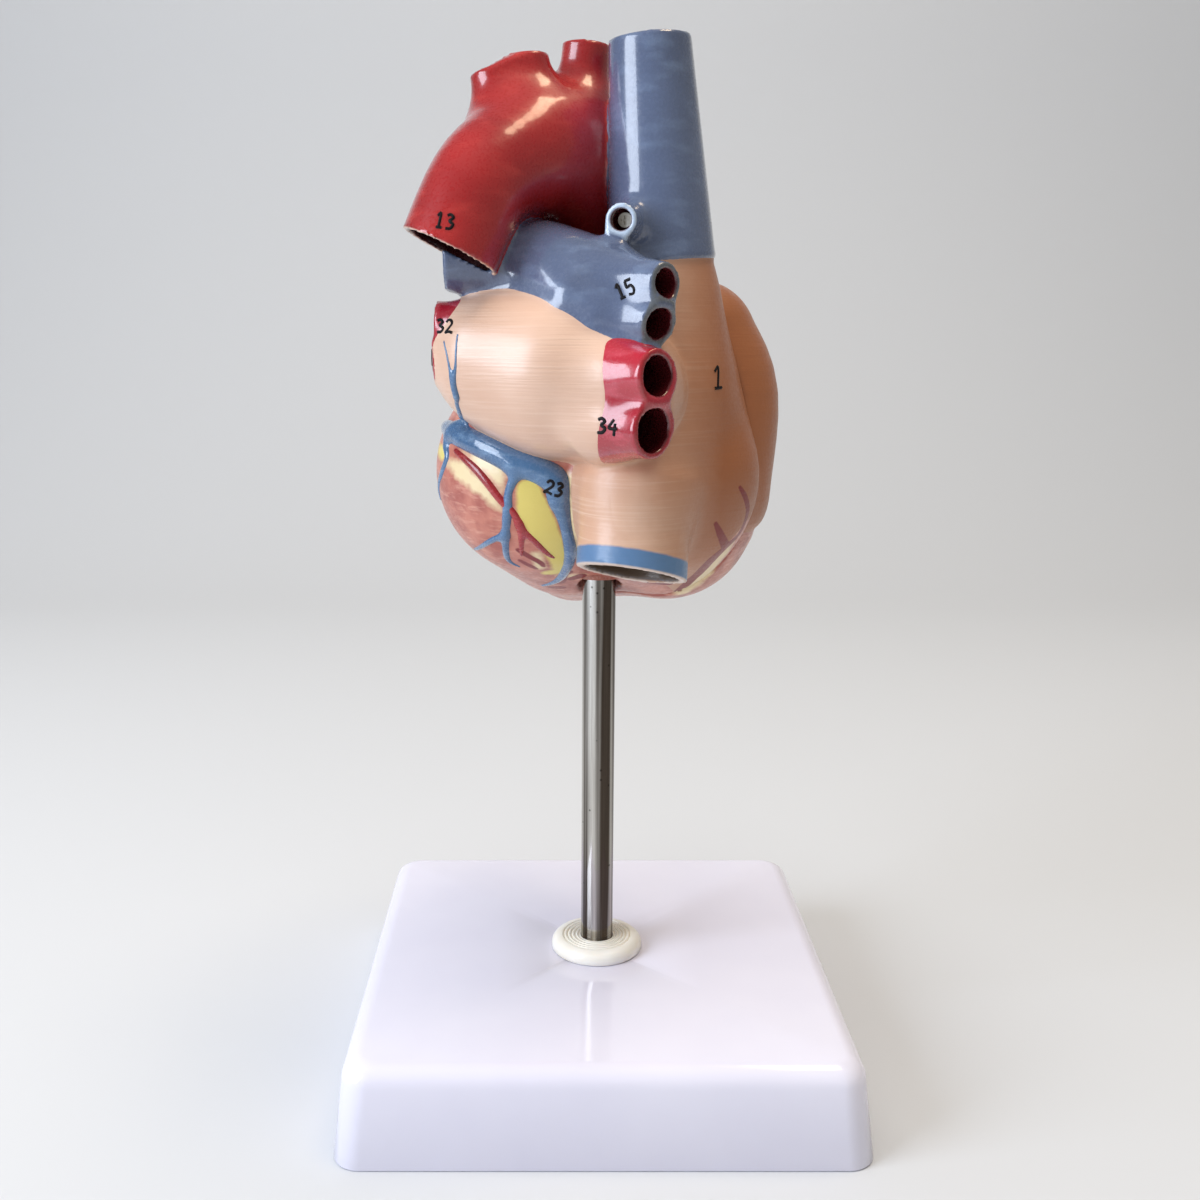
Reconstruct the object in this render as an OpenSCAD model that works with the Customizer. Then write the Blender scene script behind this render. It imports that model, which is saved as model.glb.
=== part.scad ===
// Human heart anatomy model on a stand, life size, in two parts:
// the back of the heart with the great vessels, and a front wall that pulls off.
// +Z is up, the rod stands on the Z axis, and the viewer's side of the heart is its back (-Y).

/* [Base] */
// side of the square base at its foot
base_w = 140; // [132:1:150]
// height of the base
base_h = 26.8; // [24:0.2:30]
// lean of each side from foot to top
base_draft = 2.3; // [1.6:0.1:3]
// wall of the base shell
base_wall = 2.6; // [2.2:0.1:3.4]
// radius of the upright corners at the foot
corner_r = 7.5; // [6.5:0.5:9]
// radius rolled over the top edge
edge_r = 5.5; // [4.5:0.5:6]
// diameter of the boss under the middle of the top
base_boss_d = 24; // [22:1:28]
// length of that boss below the top wall
base_boss_h = 6; // [4:0.5:8]
// thickness of the four ribs that run out from the boss
rib_t = 2; // [1.6:0.1:2.6]
// height of those ribs
rib_h = 7; // [5:0.5:9]
// room round the washer inside the boss
washer_room = 1; // [0.6:0.1:1.4]

/* [Rod and collar] */
// diameter of the steel rod
rod_d = 9.5; // [9:0.1:9.8]
// diameter of the thinned lower end that takes the nut
rod_end_d = 7.8; // [7:0.1:8]
// chamfer on the rod's top end
rod_chamfer = 0.8; // [0.5:0.1:1.2]
// outside diameter of the plastic collar ring
collar_d = 27; // [25:0.5:30]
// height of the collar ring
collar_h = 4; // [3.4:0.1:4.6]
// diameter of the collar's flat top
collar_top_d = 21; // [20:0.5:22]
// height of the collar's upright side
collar_side_h = 1.4; // [1:0.1:1.8]
// depth of the rings turned in the collar's top
groove_depth = 0.6; // [0.4:0.1:0.8]
// width of those rings
groove_w = 1; // [0.8:0.1:1.2]
// outside diameter of the washer under the base top
washer_d = 19; // [17:0.5:21]
// thickness of that washer
washer_t = 1.5; // [1.2:0.1:2]
// width across the flats of the nut
nut_af = 13; // [12.5:0.1:13.5]
// thickness of the nut
nut_t = 6.5; // [5.5:0.1:7]
// length of rod end that shows below the nut
rod_end_below = 1.5; // [0.5:0.1:2]

/* [Heart on the rod] */
// height of the socket mouth above the table
heart_z = 141; // [134:1:148]
// turn of the heart on the rod, with the patient's right towards the viewer
heart_turn = 25; // [0:1:45]
// depth that the rod goes into the socket
socket_depth = 27; // [24:0.5:28.5]
// wall of the turning sleeve
sleeve_wall = 0.9; // [0.8:0.05:1]
// thickness of the sleeve's closed end
sleeve_cap = 1.6; // [1.2:0.1:2]
// wall of the boss that holds the sleeve
boss_wall = 1.4; // [1.2:0.05:1.5]
// running clearance of rod and sleeve, on the radius
running_fit = 0.05; // [0.03:0.01:0.08]

/* [Seam] */
// how far in front of the rod the two halves meet
seam_y = 8.5; // [8.3:0.1:9]
// gap between the two halves at the seam
seam_gap = 0.3; // [0.3:0.05:0.5]
// diameter of the holding magnets
magnet_d = 5; // [4.5:0.1:5.4]
// thickness of each magnet
magnet_t = 2; // [1.6:0.1:2.4]
// diameter of the locating pins
pin_d = 3.4; // [3:0.1:3.6]
// length of pin that stands out of the seam
pin_out = 5; // [4:0.2:5.6]
// length of pin held in the back half
pin_in = 6; // [5:0.2:7]

/* [Vessels] */
// outside diameter of the superior vena cava at its open top
svc_top_d = 20.8; // [19.6:0.1:21.4]
// outside diameter of the superior vena cava where it meets the atrium
svc_foot_d = 28; // [27:0.1:29]
// wall of the venae cavae
cava_wall = 2.4; // [2:0.1:3]
// outside diameter of the azygos stump
azygos_d = 8; // [7.4:0.1:8.6]
// bore of the azygos stump
azygos_bore_d = 5.2; // [4.8:0.1:5.6]
// outside diameter of the inferior vena cava at its mouth
ivc_d = 28.8; // [27:0.1:29.4]
// wall of the aorta
aorta_wall = 2.6; // [2.2:0.1:3]
// wall of the pulmonary trunk and its large branches
trunk_wall = 2.2; // [1.8:0.1:2.6]
// outside diameter of the upper right pulmonary vein
vein_upper_d = 12.8; // [12.2:0.1:13.2]
// bore of the upper right pulmonary vein
vein_upper_bore_d = 9.4; // [8.6:0.1:10]
// outside diameter of the lower right pulmonary vein
vein_lower_d = 13.7; // [13.2:0.1:14.2]
// bore of the lower right pulmonary vein
vein_lower_bore_d = 10.4; // [9.6:0.1:11]
// outside diameter of the left pulmonary veins
left_vein_d = 11.4; // [10.8:0.1:12]
// bore of the left pulmonary veins
left_vein_bore_d = 8.4; // [7.8:0.1:8.8]
// depth of the bores of the pulmonary veins
vein_bore_depth = 13; // [9:0.5:14]
// outside diameter of the coronary sinus
sinus_d = 7.5; // [7:0.1:8]
// height that the front coronary vessels stand above the heart's surface
relief_h = 1.1; // [0.8:0.1:1.4]
// width of the front coronary arteries at their origin
front_artery_w = 3.2; // [2.6:0.1:3.6]
// width of the front coronary veins at their origin
front_vein_w = 3; // [2.4:0.1:3.4]
// diameter of the azygos screw's head
screw_head_d = 3.6; // [3.2:0.1:4.4]

/* [Valves] */
// outside diameter of the mitral and tricuspid rings
av_ring_d = 16; // [15.6:0.1:16.4]
// height of those rings
av_ring_h = 2; // [1.6:0.1:2.4]
// width of those rings
av_ring_w = 2.2; // [2:0.1:2.6]
// inside diameter of the leaflets' lower edge
leaflet_tip_d = 6.4; // [5:0.2:7]
// length of the leaflets below a ring
leaflet_l = 8; // [6:0.2:9]
// thickness of the leaflets
leaflet_t = 0.9; // [0.7:0.05:1.1]
// outside diameter of the aortic and pulmonary valve rings
semilunar_d = 21; // [20.4:0.2:21.6]
// width of their rings
semilunar_ring_w = 3; // [2.8:0.1:3.4]
// height of a semilunar valve's ring
semilunar_ring_h = 2; // [1.6:0.1:2.4]
// height of a semilunar valve to the tips of its cusps
semilunar_h = 5; // [4:0.2:6]
// width of the slits between leaflets or cusps
slit_w = 0.7; // [0.5:0.1:0.9]
// diameter of the cords between leaflets and papillary muscles
chorda_d = 1.2; // [1:0.1:1.5]

/* [Hidden] */
// clearance round a piece that is glued in its seat
seat_fit = 0.15;
// facets round the large moulded forms, the vessels on them and their branches
form_fn = 27;
vessel_fn = 12;
branch_fn = 8;
// reach of the blocks that cut the forms
far = 200;

base_top = base_h;
base_foot_h = 0.6;
rod_top = heart_z + socket_depth;
sleeve_r = rod_d / 2 + running_fit + sleeve_wall;
sleeve_top = rod_top + running_fit + sleeve_cap;
boss_bore_r = sleeve_r + running_fit;
boss_r = boss_bore_r + boss_wall;
boss_top = sleeve_top + running_fit + boss_wall;
nut_top = base_top - base_wall - base_boss_h - washer_t;
rod_foot = nut_top - nut_t - rod_end_below;

// The moulded forms are strings of beads, each [x, y, z, radius]: x to the patient's right,
// y to the front, z up from the socket mouth, in millimetres.
left_ventricle = [[-15, -5, 30, 30], [-14, 12, 17.5, 26.5], [-24, 36, -1, 14]];
right_ventricle = [[14, 6, 27, 28], [12, 20, 17, 26], [-10, 34, 6, 18], [-22, 35, 1, 14]];
outflow_cone = [[10, 21, 26, 24], [-8, 29, 42, 15], [-18, 13, 37, 18]];
atrium_back = [[17.5, 0, 72, 15], [16.5, 1, 54, 21.5], [14, 4, 31, 29]];
atrium_column = [[18.6, -4.4, 82, 14], [18.5, -9, 52, 19], [19, -18, 37, 15.5], [19.3, -21.4, 29, 15]];
atrium_front = [[20, 21, 65, 17], [23.4, 22, 49, 20], [21, 18, 24, 22]];
left_atrium_body = [[-14, -26, 60, 18.5], [2, -27, 57.5, 21.3], [15, -26.5, 53.2, 18.4]];
left_atrium_side = [[-4, -25, 59, 20], [-17, -32, 62, 14.3]];
left_auricle_body = [[-22, -12, 64, 10], [-33, 4, 66, 8.5], [-30, 20, 67, 6]];

aorta_path = [[-4, 8, 50, 12], [-3, 11.5, 70, 12.3], [-3, 10, 90, 13], [-6, 2, 105, 15],
              [-11, -8.4, 112, 16], [-14.7, -21.2, 111, 14.8], [-18.7, -34.3, 103.5, 13.1],
              [-23.4, -46, 83, 12.4]];
aorta_foot_z = 50;
aorta_end = [-22, -44.5, 87.7];
aorta_end_normal = [-0.36, -0.25, -0.9];
aorta_cut_r = 20;
// branches of the arch, each [foot, top, foot radius, top radius, bore radius]
arch_crest = [[-15, -14, 115, 14], [-8, -2, 118, 14.5]];
arch_branches = [[[-17.5, -20, 112], [-22.3, -20.4, 133], 6.8, 5.6, 3.2],
                 [[-13, -14, 112], [-15.2, -14.3, 137.5], 6.8, 5.6, 3.6],
                 [[-7, 0, 108], [-5.1, 0.9, 142], 7.6, 6.3, 4.4]];
trunk_path = [[-13, 33, 44, 11], [-15, 31, 60, 11], [-22, 22, 72, 11], [-26.5, 8, 82, 10.5],
              [-20, -9, 86, 10.5], [-9, -21.5, 83.5, 11.5], [1, -25.5, 81.5, 12.3], [14, -27, 78, 10.8]];
trunk_foot_z = 50;
trunk_left = [[-9, -22, 83.5, 11], [-31, -37.5, 86, 8.5]];
// how far left of the socket the trunk's left end is cut, along the base's own x
trunk_left_cut = 40.6;
// right branches of the trunk, each [root, end, root radius, end radius, bore radius]
trunk_branches = [[[12, -26, 79.5], [31.7, -34.9, 79.5], 9, 4.85, 3.4],
                  [[12, -26, 75], [30.7, -36.5, 70], 9.5, 5.25, 3.65]];

ivc_mouth = [20.4, -26.7, 6.8];
ivc_head = [19.3, -21.4, 30];
ivc_mouth_normal = [-0.02, -0.32, -0.94];
svc_top = [15.4, -6.1, 140.5];
svc_foot = [18.9, -4.4, 86.2];
azygos_root = [14.9, -12.9, 95.5];
azygos_end = [16.7, -27.5, 95];
azygos_bore_depth = 6;
screw_d = 2.2;
screw_l = 4;
screw_head_t = 1.8;
screw_slot_l = 2.2;
screw_slot_w = 0.6;
screw_slot_depth = 0.7;
right_vein_ends = [[32.6, -42.2, 58.1], [31.9, -42.5, 45.2]];
right_vein_run = [17, -6.6, 0];
right_vein_d = [vein_upper_d, vein_lower_d];
right_vein_bores = [vein_upper_bore_d, vein_lower_bore_d];
left_vein_ends = [[-29, -38.5, 70], [-29, -38.5, 60.5]];
left_vein_run = [-15, -5, 0];
left_vein_ds = [left_vein_d, left_vein_d];

// coronary vessels on the back
sinus_r = sinus_d / 2;
sinus_path = [[-40.5, -11.5, 43, 2.8], [-36, -21.5, 42, 3.4], [-27, -28, 40, sinus_r],
              [-17, -33, 38.5, sinus_r], [-4, -33, 34, sinus_r], [4, -31, 30, sinus_r], [4, -28, 20, 3],
              [1.5, -23, 12, 2.4], [-3, -17, 6, 1.8], [-11, -10, 0, 1]];
sinus_branches = [[[-12, -33, 35, 2], [-11.5, -35, 25, 1.4], [-13.5, -29.5, 13, 1.2],
                   [-20, -25.5, 9, 0.8]],
                  [[-13.5, -29.5, 13, 1.2], [-17.5, -20, 4, 0.8]],
                  [[-29, -28, 39, 2], [-32, -30, 32, 1.4], [-38, -23, 23, 1]],
                  [[-28, -25, 41, 2], [-22, -36.5, 45, 1.5], [-20.5, -43.3, 51, 1.3], [-22, -46, 57, 1.1],
                   [-24.5, -45.6, 65, 0.9]],
                  [[-20.5, -44, 53, 1.2], [-18.7, -46.3, 60, 1], [-18.5, -46, 67, 0.9]]];
back_arteries = [[[-29.5, -31, 37, 1.4], [-19, -35, 32.5, 1.6], [-10.5, -33, 22.5, 1.5],
                  [-11.5, -30, 15, 1.2], [-14, -24.5, 7.5, 0.8]],
                 [[-10.5, -33, 22.5, 1.5], [-5, -28.5, 14.5, 1.2], [-4.8, -19.5, 6, 0.8]]];
// coronary vessels on the front, as paths of [x, z]
front_arteries = [[[-19, 40], [-20, 32], [-21, 20], [-23, 6], [-25, -8]],
                  [[-20, 32], [-29, 22], [-33, 12]],
                  [[-1, 58], [8, 51], [18, 40], [26, 30], [34, 17]]];
front_veins = [[[-23, 38], [-25, 28], [-27, 16], [-29, 4]],
               [[12, 22], [4, 14], [-6, 6], [-14, -4]]];

// hollows of the chambers, strung through the valve openings
right_hollow = [[19, 0, 53, 13], [20, -0.5, 37, 7.2], [20, 6, 22, 9.5], [14, 22, 17, 13],
                [-6, 29, 40, 9], [-15, 31, 58, 8.6]];
right_front_hollow = [[19, 0, 53, 13], [21, 20, 52, 14], [19, 21, 62, 10]];
cava_hollow = [[19, -21, 29, 9], [19, -20, 37, 9], [19, -10, 53, 12], [19, -5, 84, 10]];
left_hollow = [[-3, -24, 60, 14], [-15, -8, 48, 7.2], [-22, 2, 38, 12], [-24, 18, 18, 9.5],
               [-25, 31, 6, 6]];
outflow_hollow = [[-20, 3, 40, 9], [-5, 9, 56, 9]];
mitral_at = [-15, -7.8, 48];
mitral_up = [-3, -24, 60];
tricuspid_at = [20, -0.5, 36];
tricuspid_up = [19.5, 0, 60];
aortic_valve_at = [-3.7, 9.3, 56];
aortic_valve_up = [-3, 12, 72];
pulmonary_valve_at = [-14.2, 31.8, 54];
pulmonary_valve_up = [-16, 29.5, 68];
// each papillary muscle: foot bead, tip bead, and where its cords reach the leaflets
papillaries = [[[-32, -4, 24, 5], [-26, 1, 31, 2.2], [[-21.5, -3, 42], [-20.5, 1, 42]]],
               [[-19, 3, 19, 4.5], [-21, 4, 29, 2.2], [[-19, 0, 42], [-18, -1, 43]]],
               [[25, 3, 13, 4], [22, 3, 20, 1.8], [[22, 1, 29], [19, 2, 29]]]];

// places of pins and magnets on the seam, [x, z]
pin_places = [[-30, 12], [30, 14]];
magnet_places = [[-38, 32], [37, 31], [-12, 7]];

// the front coronary vessels start this far in front of the seam
relief_from = 13;

// the groove between right atrium and ventricle on the front, its lean and its distance
groove_lean = 34.4;
groove_at = 39.3;

// the right atrium lies right of this plane, the septum and ventricles left of it
septum_x = 9.5;

aorta_red = [0.66, 0.10, 0.13];
vein_red = [0.80, 0.12, 0.16];
vessel_blue = [0.36, 0.44, 0.56];
sinus_blue = [0.26, 0.40, 0.55];
atrium_beige = [0.82, 0.64, 0.50];
muscle_pink = [0.79, 0.45, 0.37];
leaflet_cream = [0.93, 0.88, 0.74];
base_white = [0.93, 0.92, 0.95];
collar_cream = [0.93, 0.91, 0.86];
steel = [0.63, 0.62, 0.60];

/* ---------- helpers ---------- */

// the heart's own frame: turned on the rod, zero at the socket mouth
module heart() {
  translate([0, 0, heart_z])
    rotate([0, 0, -heart_turn])
      children();
}

module bead(b, grow) {
  translate([b[0], b[1], b[2]])
    sphere(r = b[3] + grow);
}

module link(a, b, grow) {
  hull() {
    bead(a, grow);
    bead(b, grow);
  }
}

// a string of beads as one blended form
module form(beads, grow = 0) {
  for (i = [0 : len(beads) - 2])
    link(beads[i], beads[i + 1], grow);
}

// a form drawn out towards the back, to clear its way when the front wall comes off
module form_and_way(beads, grow = 0) {
  for (i = [0 : len(beads) - 2])
    hull()
      for (dy = [0, -far / 4])
        translate([0, dy, 0])
          link(beads[i], beads[i + 1], grow);
}

// turns +Z onto the line from a to b, at a
module along(a, b) {
  d = b - a;
  translate(a)
    rotate([0, acos(d[2] / norm(d)), atan2(d[1], d[0])])
      children();
}

// a straight or tapered length from a to b
module rod_between(a, b, r1, r2) {
  along(a, b)
    cylinder(h = norm(b - a), r1 = r1, r2 = r2);
}

module back_half() {
  intersection() {
    children();
    translate([-far / 2, seam_y - far, -far / 2])
      cube([far, far, 2 * far]);
  }
}

module front_half() {
  intersection() {
    children();
    translate([-far / 2, seam_y + seam_gap, -far / 2])
      cube([far, far, 2 * far]);
  }
}

/* ---------- stand ---------- */

module base_block(w, h, draft, r, edge) {
  foot = w / 2 - r;
  top = w / 2 - draft - edge;
  hull() {
    for (x = [-foot, foot], y = [-foot, foot])
      translate([x, y, 0])
        cylinder(h = base_foot_h, r = r, $fn = 32);
    for (x = [-top, top], y = [-top, top])
      translate([x, y, h - edge])
        sphere(r = edge, $fn = 32);
  }
}

// the base's outer form brought in by a depth
module base_inside(depth) {
  translate([0, 0, -1])
    base_block(base_w - 2 * depth, base_h - depth + 1, base_draft, corner_r - depth, edge_r - depth);
}

module base_shell() {
  color(base_white) {
    difference() {
      base_block(base_w, base_h, base_draft, corner_r, edge_r);
      base_inside(base_wall);
      cylinder(h = far, r = rod_d / 2 + seat_fit, center = true, $fn = 64);
    }
    difference() {
      union() {
        translate([0, 0, base_top - base_wall - base_boss_h])
          cylinder(h = base_boss_h + base_wall / 2, r = base_boss_d / 2, $fn = 64);
        intersection() {
          base_inside(base_wall / 2);
          for (a = [45, 135])
            rotate([0, 0, a])
              translate([-far / 2, -rib_t / 2, base_top - base_wall - rib_h])
                cube([far, rib_t, rib_h + base_wall]);
        }
      }
      cylinder(h = far, r = rod_d / 2 + seat_fit, center = true, $fn = 64);
      translate([0, 0, nut_top - far])
        cylinder(h = far + washer_t, r = washer_d / 2 + washer_room, $fn = 64);
    }
  }
}

module collar_ring() {
  collar_r = collar_d / 2;
  rod_r = rod_d / 2 + running_fit;
  color(collar_cream)
    translate([0, 0, base_top])
      difference() {
        rotate_extrude($fn = 96)
          polygon([[rod_r, 0], [collar_r, 0], [collar_r, collar_side_h], [collar_top_d / 2, collar_h],
                   [rod_r, collar_h]]);
        for (r = [rod_r + groove_w, rod_r + 3 * groove_w])
          translate([0, 0, collar_h - groove_depth])
            difference() {
              cylinder(h = 1, r = r + groove_w, $fn = 96);
              translate([0, 0, -1])
                cylinder(h = 3, r = r, $fn = 96);
            }
      }
}

module support_rod() {
  r = rod_d / 2;
  color(steel)
    rotate_extrude($fn = 96)
      polygon([[0, rod_foot], [rod_end_d / 2 - rod_chamfer, rod_foot],
               [rod_end_d / 2, rod_foot + rod_chamfer],
               [rod_end_d / 2, nut_top + washer_t], [r, nut_top + washer_t],
               [r, rod_top - rod_chamfer], [r - rod_chamfer, rod_top], [0, rod_top]]);
}

module rod_washer() {
  color(steel)
    translate([0, 0, nut_top])
      difference() {
        cylinder(h = washer_t, r = washer_d / 2, $fn = 64);
        cylinder(h = far, r = rod_end_d / 2 + running_fit, center = true, $fn = 64);
      }
}

module rod_nut() {
  color(steel)
    translate([0, 0, nut_top - nut_t])
      difference() {
        cylinder(h = nut_t, r = nut_af / sqrt(3), $fn = 6);
        cylinder(h = far, r = rod_end_d / 2 + running_fit, center = true, $fn = 64);
      }
}

/* ---------- turning fit of heart and rod ---------- */

module rod_socket() {
  color(steel)
    translate([0, 0, heart_z])
      difference() {
        cylinder(h = sleeve_top - heart_z, r = sleeve_r, $fn = 96);
        translate([0, 0, -1])
          cylinder(h = rod_top + running_fit - heart_z + 1, r = rod_d / 2 + running_fit, $fn = 96);
      }
}

module socket_boss() {
  color(muscle_pink)
    translate([0, 0, heart_z])
      difference() {
        cylinder(h = boss_top - heart_z, r = boss_r, $fn = 96);
        translate([0, 0, -1])
          cylinder(h = sleeve_top + running_fit - heart_z + 1, r = boss_bore_r, $fn = 96);
      }
}

/* ---------- solids that seats and hollows are cut with ---------- */

module boss_seat() {
  translate([0, 0, -far])
    cylinder(h = far + boss_top - heart_z, r = boss_r + seat_fit, $fn = 40);
}

module svc_seat() {
  rod_between(svc_foot, svc_top, svc_foot_d / 2 + seat_fit, svc_top_d / 2 + seat_fit, $fn = 48);
  rod_between(azygos_root, azygos_end, azygos_d / 2 + seat_fit, azygos_d / 2 + seat_fit, $fn = 32);
}

module ivc_seat() {
  rod_between(ivc_head, ivc_mouth, ivc_d / 2 + seat_fit, ivc_d / 2 + seat_fit, $fn = 48);
}

module vein_pair(ends, run, d, fit) {
  for (i = [0, 1])
    rod_between(ends[i] - run, ends[i], d[i] / 2 + fit, d[i] / 2 + fit);
}

module right_vein_seat() {
  vein_pair(right_vein_ends, right_vein_run, right_vein_d, seat_fit, $fn = 32);
}

module left_vein_seat() {
  vein_pair(left_vein_ends, left_vein_run, left_vein_ds, seat_fit, $fn = 32);
}

module above(z) {
  translate([-far / 2, -far / 2, z])
    cube(far);
}

module aorta_form(grow = 0) {
  difference() {
    intersection() {
      form(aorta_path, grow, $fn = 20);
      above(aorta_foot_z);
    }
    along(aorta_end, aorta_end + aorta_end_normal)
      translate([0, 0, grow])
        cylinder(h = far, r = aorta_cut_r);
  }
}

module trunk_form(grow = 0) {
  intersection() {
    union() {
      form(trunk_path, grow, $fn = 20);
      form(trunk_left, grow, $fn = 20);
      for (b = trunk_branches)
        rod_between(b[0], b[1], b[2] + grow, b[3] + grow, $fn = 24);
    }
    above(trunk_foot_z);
  }
}

module left_atrium_form(grow = 0) {
  form(left_atrium_body, grow, $fn = form_fn);
  form(left_atrium_side, grow, $fn = form_fn);
}

module right_atrium_form() {
  form(atrium_back, $fn = form_fn);
  form(atrium_column, $fn = form_fn);
}

module ventricle_form() {
  form(left_ventricle, $fn = form_fn);
  form(right_ventricle, $fn = form_fn);
}

module front_form(grow = 0) {
  form(left_ventricle, grow, $fn = form_fn);
  form(right_ventricle, grow, $fn = form_fn);
  form(outflow_cone, grow, $fn = form_fn);
  form(atrium_front, grow, $fn = form_fn);
}

module chambers() {
  form(right_hollow, $fn = 20);
  form(right_front_hollow, $fn = 20);
  form(cava_hollow, $fn = 20);
  form(left_hollow, $fn = 20);
  form(outflow_hollow, $fn = 20);
}

module sinus_form() {
  form(sinus_path, $fn = vessel_fn);
  for (b = sinus_branches)
    form(b, $fn = branch_fn);
}

module back_artery_form() {
  for (b = back_arteries)
    form(b, $fn = branch_fn);
}

// everything right of the septum, where the back half is the right atrium
module right_of_septum() {
  translate([septum_x, -far / 2, -far / 2])
    cube(far);
}

// the side of the front where the right atrium and auricle lie, above the groove
module auricle_side(offset = 0) {
  rotate([0, -groove_lean, 0])
    translate([groove_at + offset, -far / 2, -far / 2])
      cube(far);
}

module pins(r, y0, y1) {
  for (p = pin_places)
    rod_between([p[0], y0, p[1]], [p[0], y1, p[1]], r, r, $fn = 32);
}

module magnets(r, y0, y1) {
  for (m = magnet_places)
    rod_between([m[0], y0, m[1]], [m[0], y1, m[1]], r, r, $fn = 32);
}

module back_fastener_seats() {
  pins(pin_d / 2 + seat_fit, seam_y - pin_in, seam_y + 1);
  magnets(magnet_d / 2 + seat_fit, seam_y - magnet_t, seam_y + 1);
}

module front_fastener_seats() {
  pins(pin_d / 2 + 2 * seat_fit, seam_y - 1, seam_y + pin_out + 2 * seat_fit);
  magnets(magnet_d / 2 + seat_fit, seam_y - 1, seam_y + seam_gap + magnet_t);
}

// the ways that the vessels need when the front wall slides off
module vessel_ways() {
  clear = seam_gap;
  intersection() {
    form_and_way([aorta_path[0], aorta_path[1], aorta_path[2]], clear, $fn = 20);
    above(aorta_foot_z - clear);
  }
  intersection() {
    form_and_way([trunk_path[0], trunk_path[1], trunk_path[2]], clear, $fn = 20);
    above(trunk_foot_z - clear);
  }
}

/* ---------- back half of the heart ---------- */

module heart_back() {
  color(muscle_pink)
    heart()
      difference() {
        back_half()
          ventricle_form();
        boss_seat();
        chambers();
        left_atrium_form();
        aorta_form(seat_fit);
        intersection() {
          right_atrium_form();
          right_of_septum();
        }
        ivc_seat();
        mitral_seat();
        sinus_form();
        back_artery_form();
        back_fastener_seats();
      }
}

module left_atrium() {
  color(atrium_beige)
    heart()
      difference() {
        left_atrium_form();
        chambers();
        right_vein_seat();
        left_vein_seat();
        trunk_form(seat_fit);
        aorta_form(seat_fit);
        ivc_seat();
        mitral_seat();
        sinus_form();
      }
}

module right_atrium() {
  color(atrium_beige)
    heart()
      difference() {
        intersection() {
          back_half()
            right_atrium_form();
          right_of_septum();
        }
        chambers();
        left_atrium_form();
        svc_seat();
        ivc_seat();
        aorta_form(seat_fit);
        trunk_form(seat_fit);
        right_vein_seat();
        tricuspid_seat();
        back_fastener_seats();
      }
}

module left_auricle() {
  color(atrium_beige)
    heart()
      difference() {
        form(left_auricle_body, $fn = 20);
        left_atrium_form();
        ventricle_form();
        trunk_form(seat_fit);
        aorta_form(seat_fit);
        left_vein_seat();
      }
}

module aorta_arch() {
  color(aorta_red)
    heart()
      difference() {
        union() {
          aorta_form();
          form(arch_crest, $fn = 20);
          hull()
            for (b = [arch_branches[0], arch_branches[1]])
              rod_between(b[0], b[1], b[2], b[3], $fn = 24);
          rod_between(arch_branches[2][0], arch_branches[2][1], arch_branches[2][2], arch_branches[2][3],
                      $fn = 24);
        }
        form(aorta_path, -aorta_wall, $fn = 20);
        for (b = arch_branches)
          rod_between(b[0], b[1] + 0.1 * (b[1] - b[0]), b[4], b[4], $fn = 24);
        aortic_valve_seat();
        svc_seat();
      }
}

module pulmonary_trunk() {
  color(vessel_blue)
    heart()
      difference() {
        trunk_form();
        form(trunk_path, -trunk_wall, $fn = 20);
        form(trunk_left, -trunk_wall, $fn = 20);
        for (b = trunk_branches)
          rod_between(b[0], b[1] + 0.1 * (b[1] - b[0]), b[4], b[4], $fn = 24);
        rotate([0, 0, heart_turn])
          translate([-trunk_left_cut - far, -far, 0])
            cube([far, 2 * far, far]);
        pulmonary_valve_seat();
        aorta_form(seat_fit);
        svc_seat();
      }
}

module superior_vena_cava() {
  length = norm(svc_top - svc_foot);
  color(vessel_blue)
    heart()
      difference() {
        union() {
          rod_between(svc_foot, svc_top, svc_foot_d / 2, svc_top_d / 2, $fn = 96);
          rod_between(azygos_root, azygos_end, azygos_d / 2, azygos_d / 2, $fn = 64);
        }
        along(svc_foot, svc_top)
          translate([0, 0, -0.01])
            cylinder(h = length + 0.02, r1 = svc_foot_d / 2 - cava_wall, r2 = svc_top_d / 2 - cava_wall,
                     $fn = 96);
        along(azygos_end, azygos_root) {
          translate([0, 0, -1])
            cylinder(h = azygos_bore_depth + 1, r = azygos_bore_d / 2, $fn = 64);
          cylinder(h = azygos_bore_depth + screw_l, r = screw_d / 2, $fn = 32);
        }
      }
}

module azygos_screw() {
  color(steel)
    heart()
      along(azygos_end, azygos_root)
        translate([0, 0, azygos_bore_depth])
          difference() {
            union() {
              translate([0, 0, -screw_head_t])
                cylinder(h = screw_head_t, r = screw_head_d / 2, $fn = 48);
              cylinder(h = screw_l - running_fit, r = screw_d / 2 - running_fit, $fn = 32);
            }
            for (a = [0, 90])
              rotate([0, 0, a])
                translate([-screw_slot_l / 2, -screw_slot_w / 2, -screw_head_t - 1])
                  cube([screw_slot_l, screw_slot_w, screw_slot_depth + 1]);
          }
}

module inferior_vena_cava() {
  beyond = ivc_mouth + 0.5 * (ivc_mouth - ivc_head);
  length = norm(beyond - ivc_head);
  color(atrium_beige)
    heart()
      difference() {
        rod_between(ivc_head, beyond, ivc_d / 2, ivc_d / 2, $fn = 96);
        along(ivc_head, beyond)
          translate([0, 0, -1])
            cylinder(h = length + 2, r = ivc_d / 2 - cava_wall, $fn = 96);
        along(ivc_mouth, ivc_mouth + ivc_mouth_normal)
          translate([-far / 2, -far / 2, 0])
            cube(far);
      }
}

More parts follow.
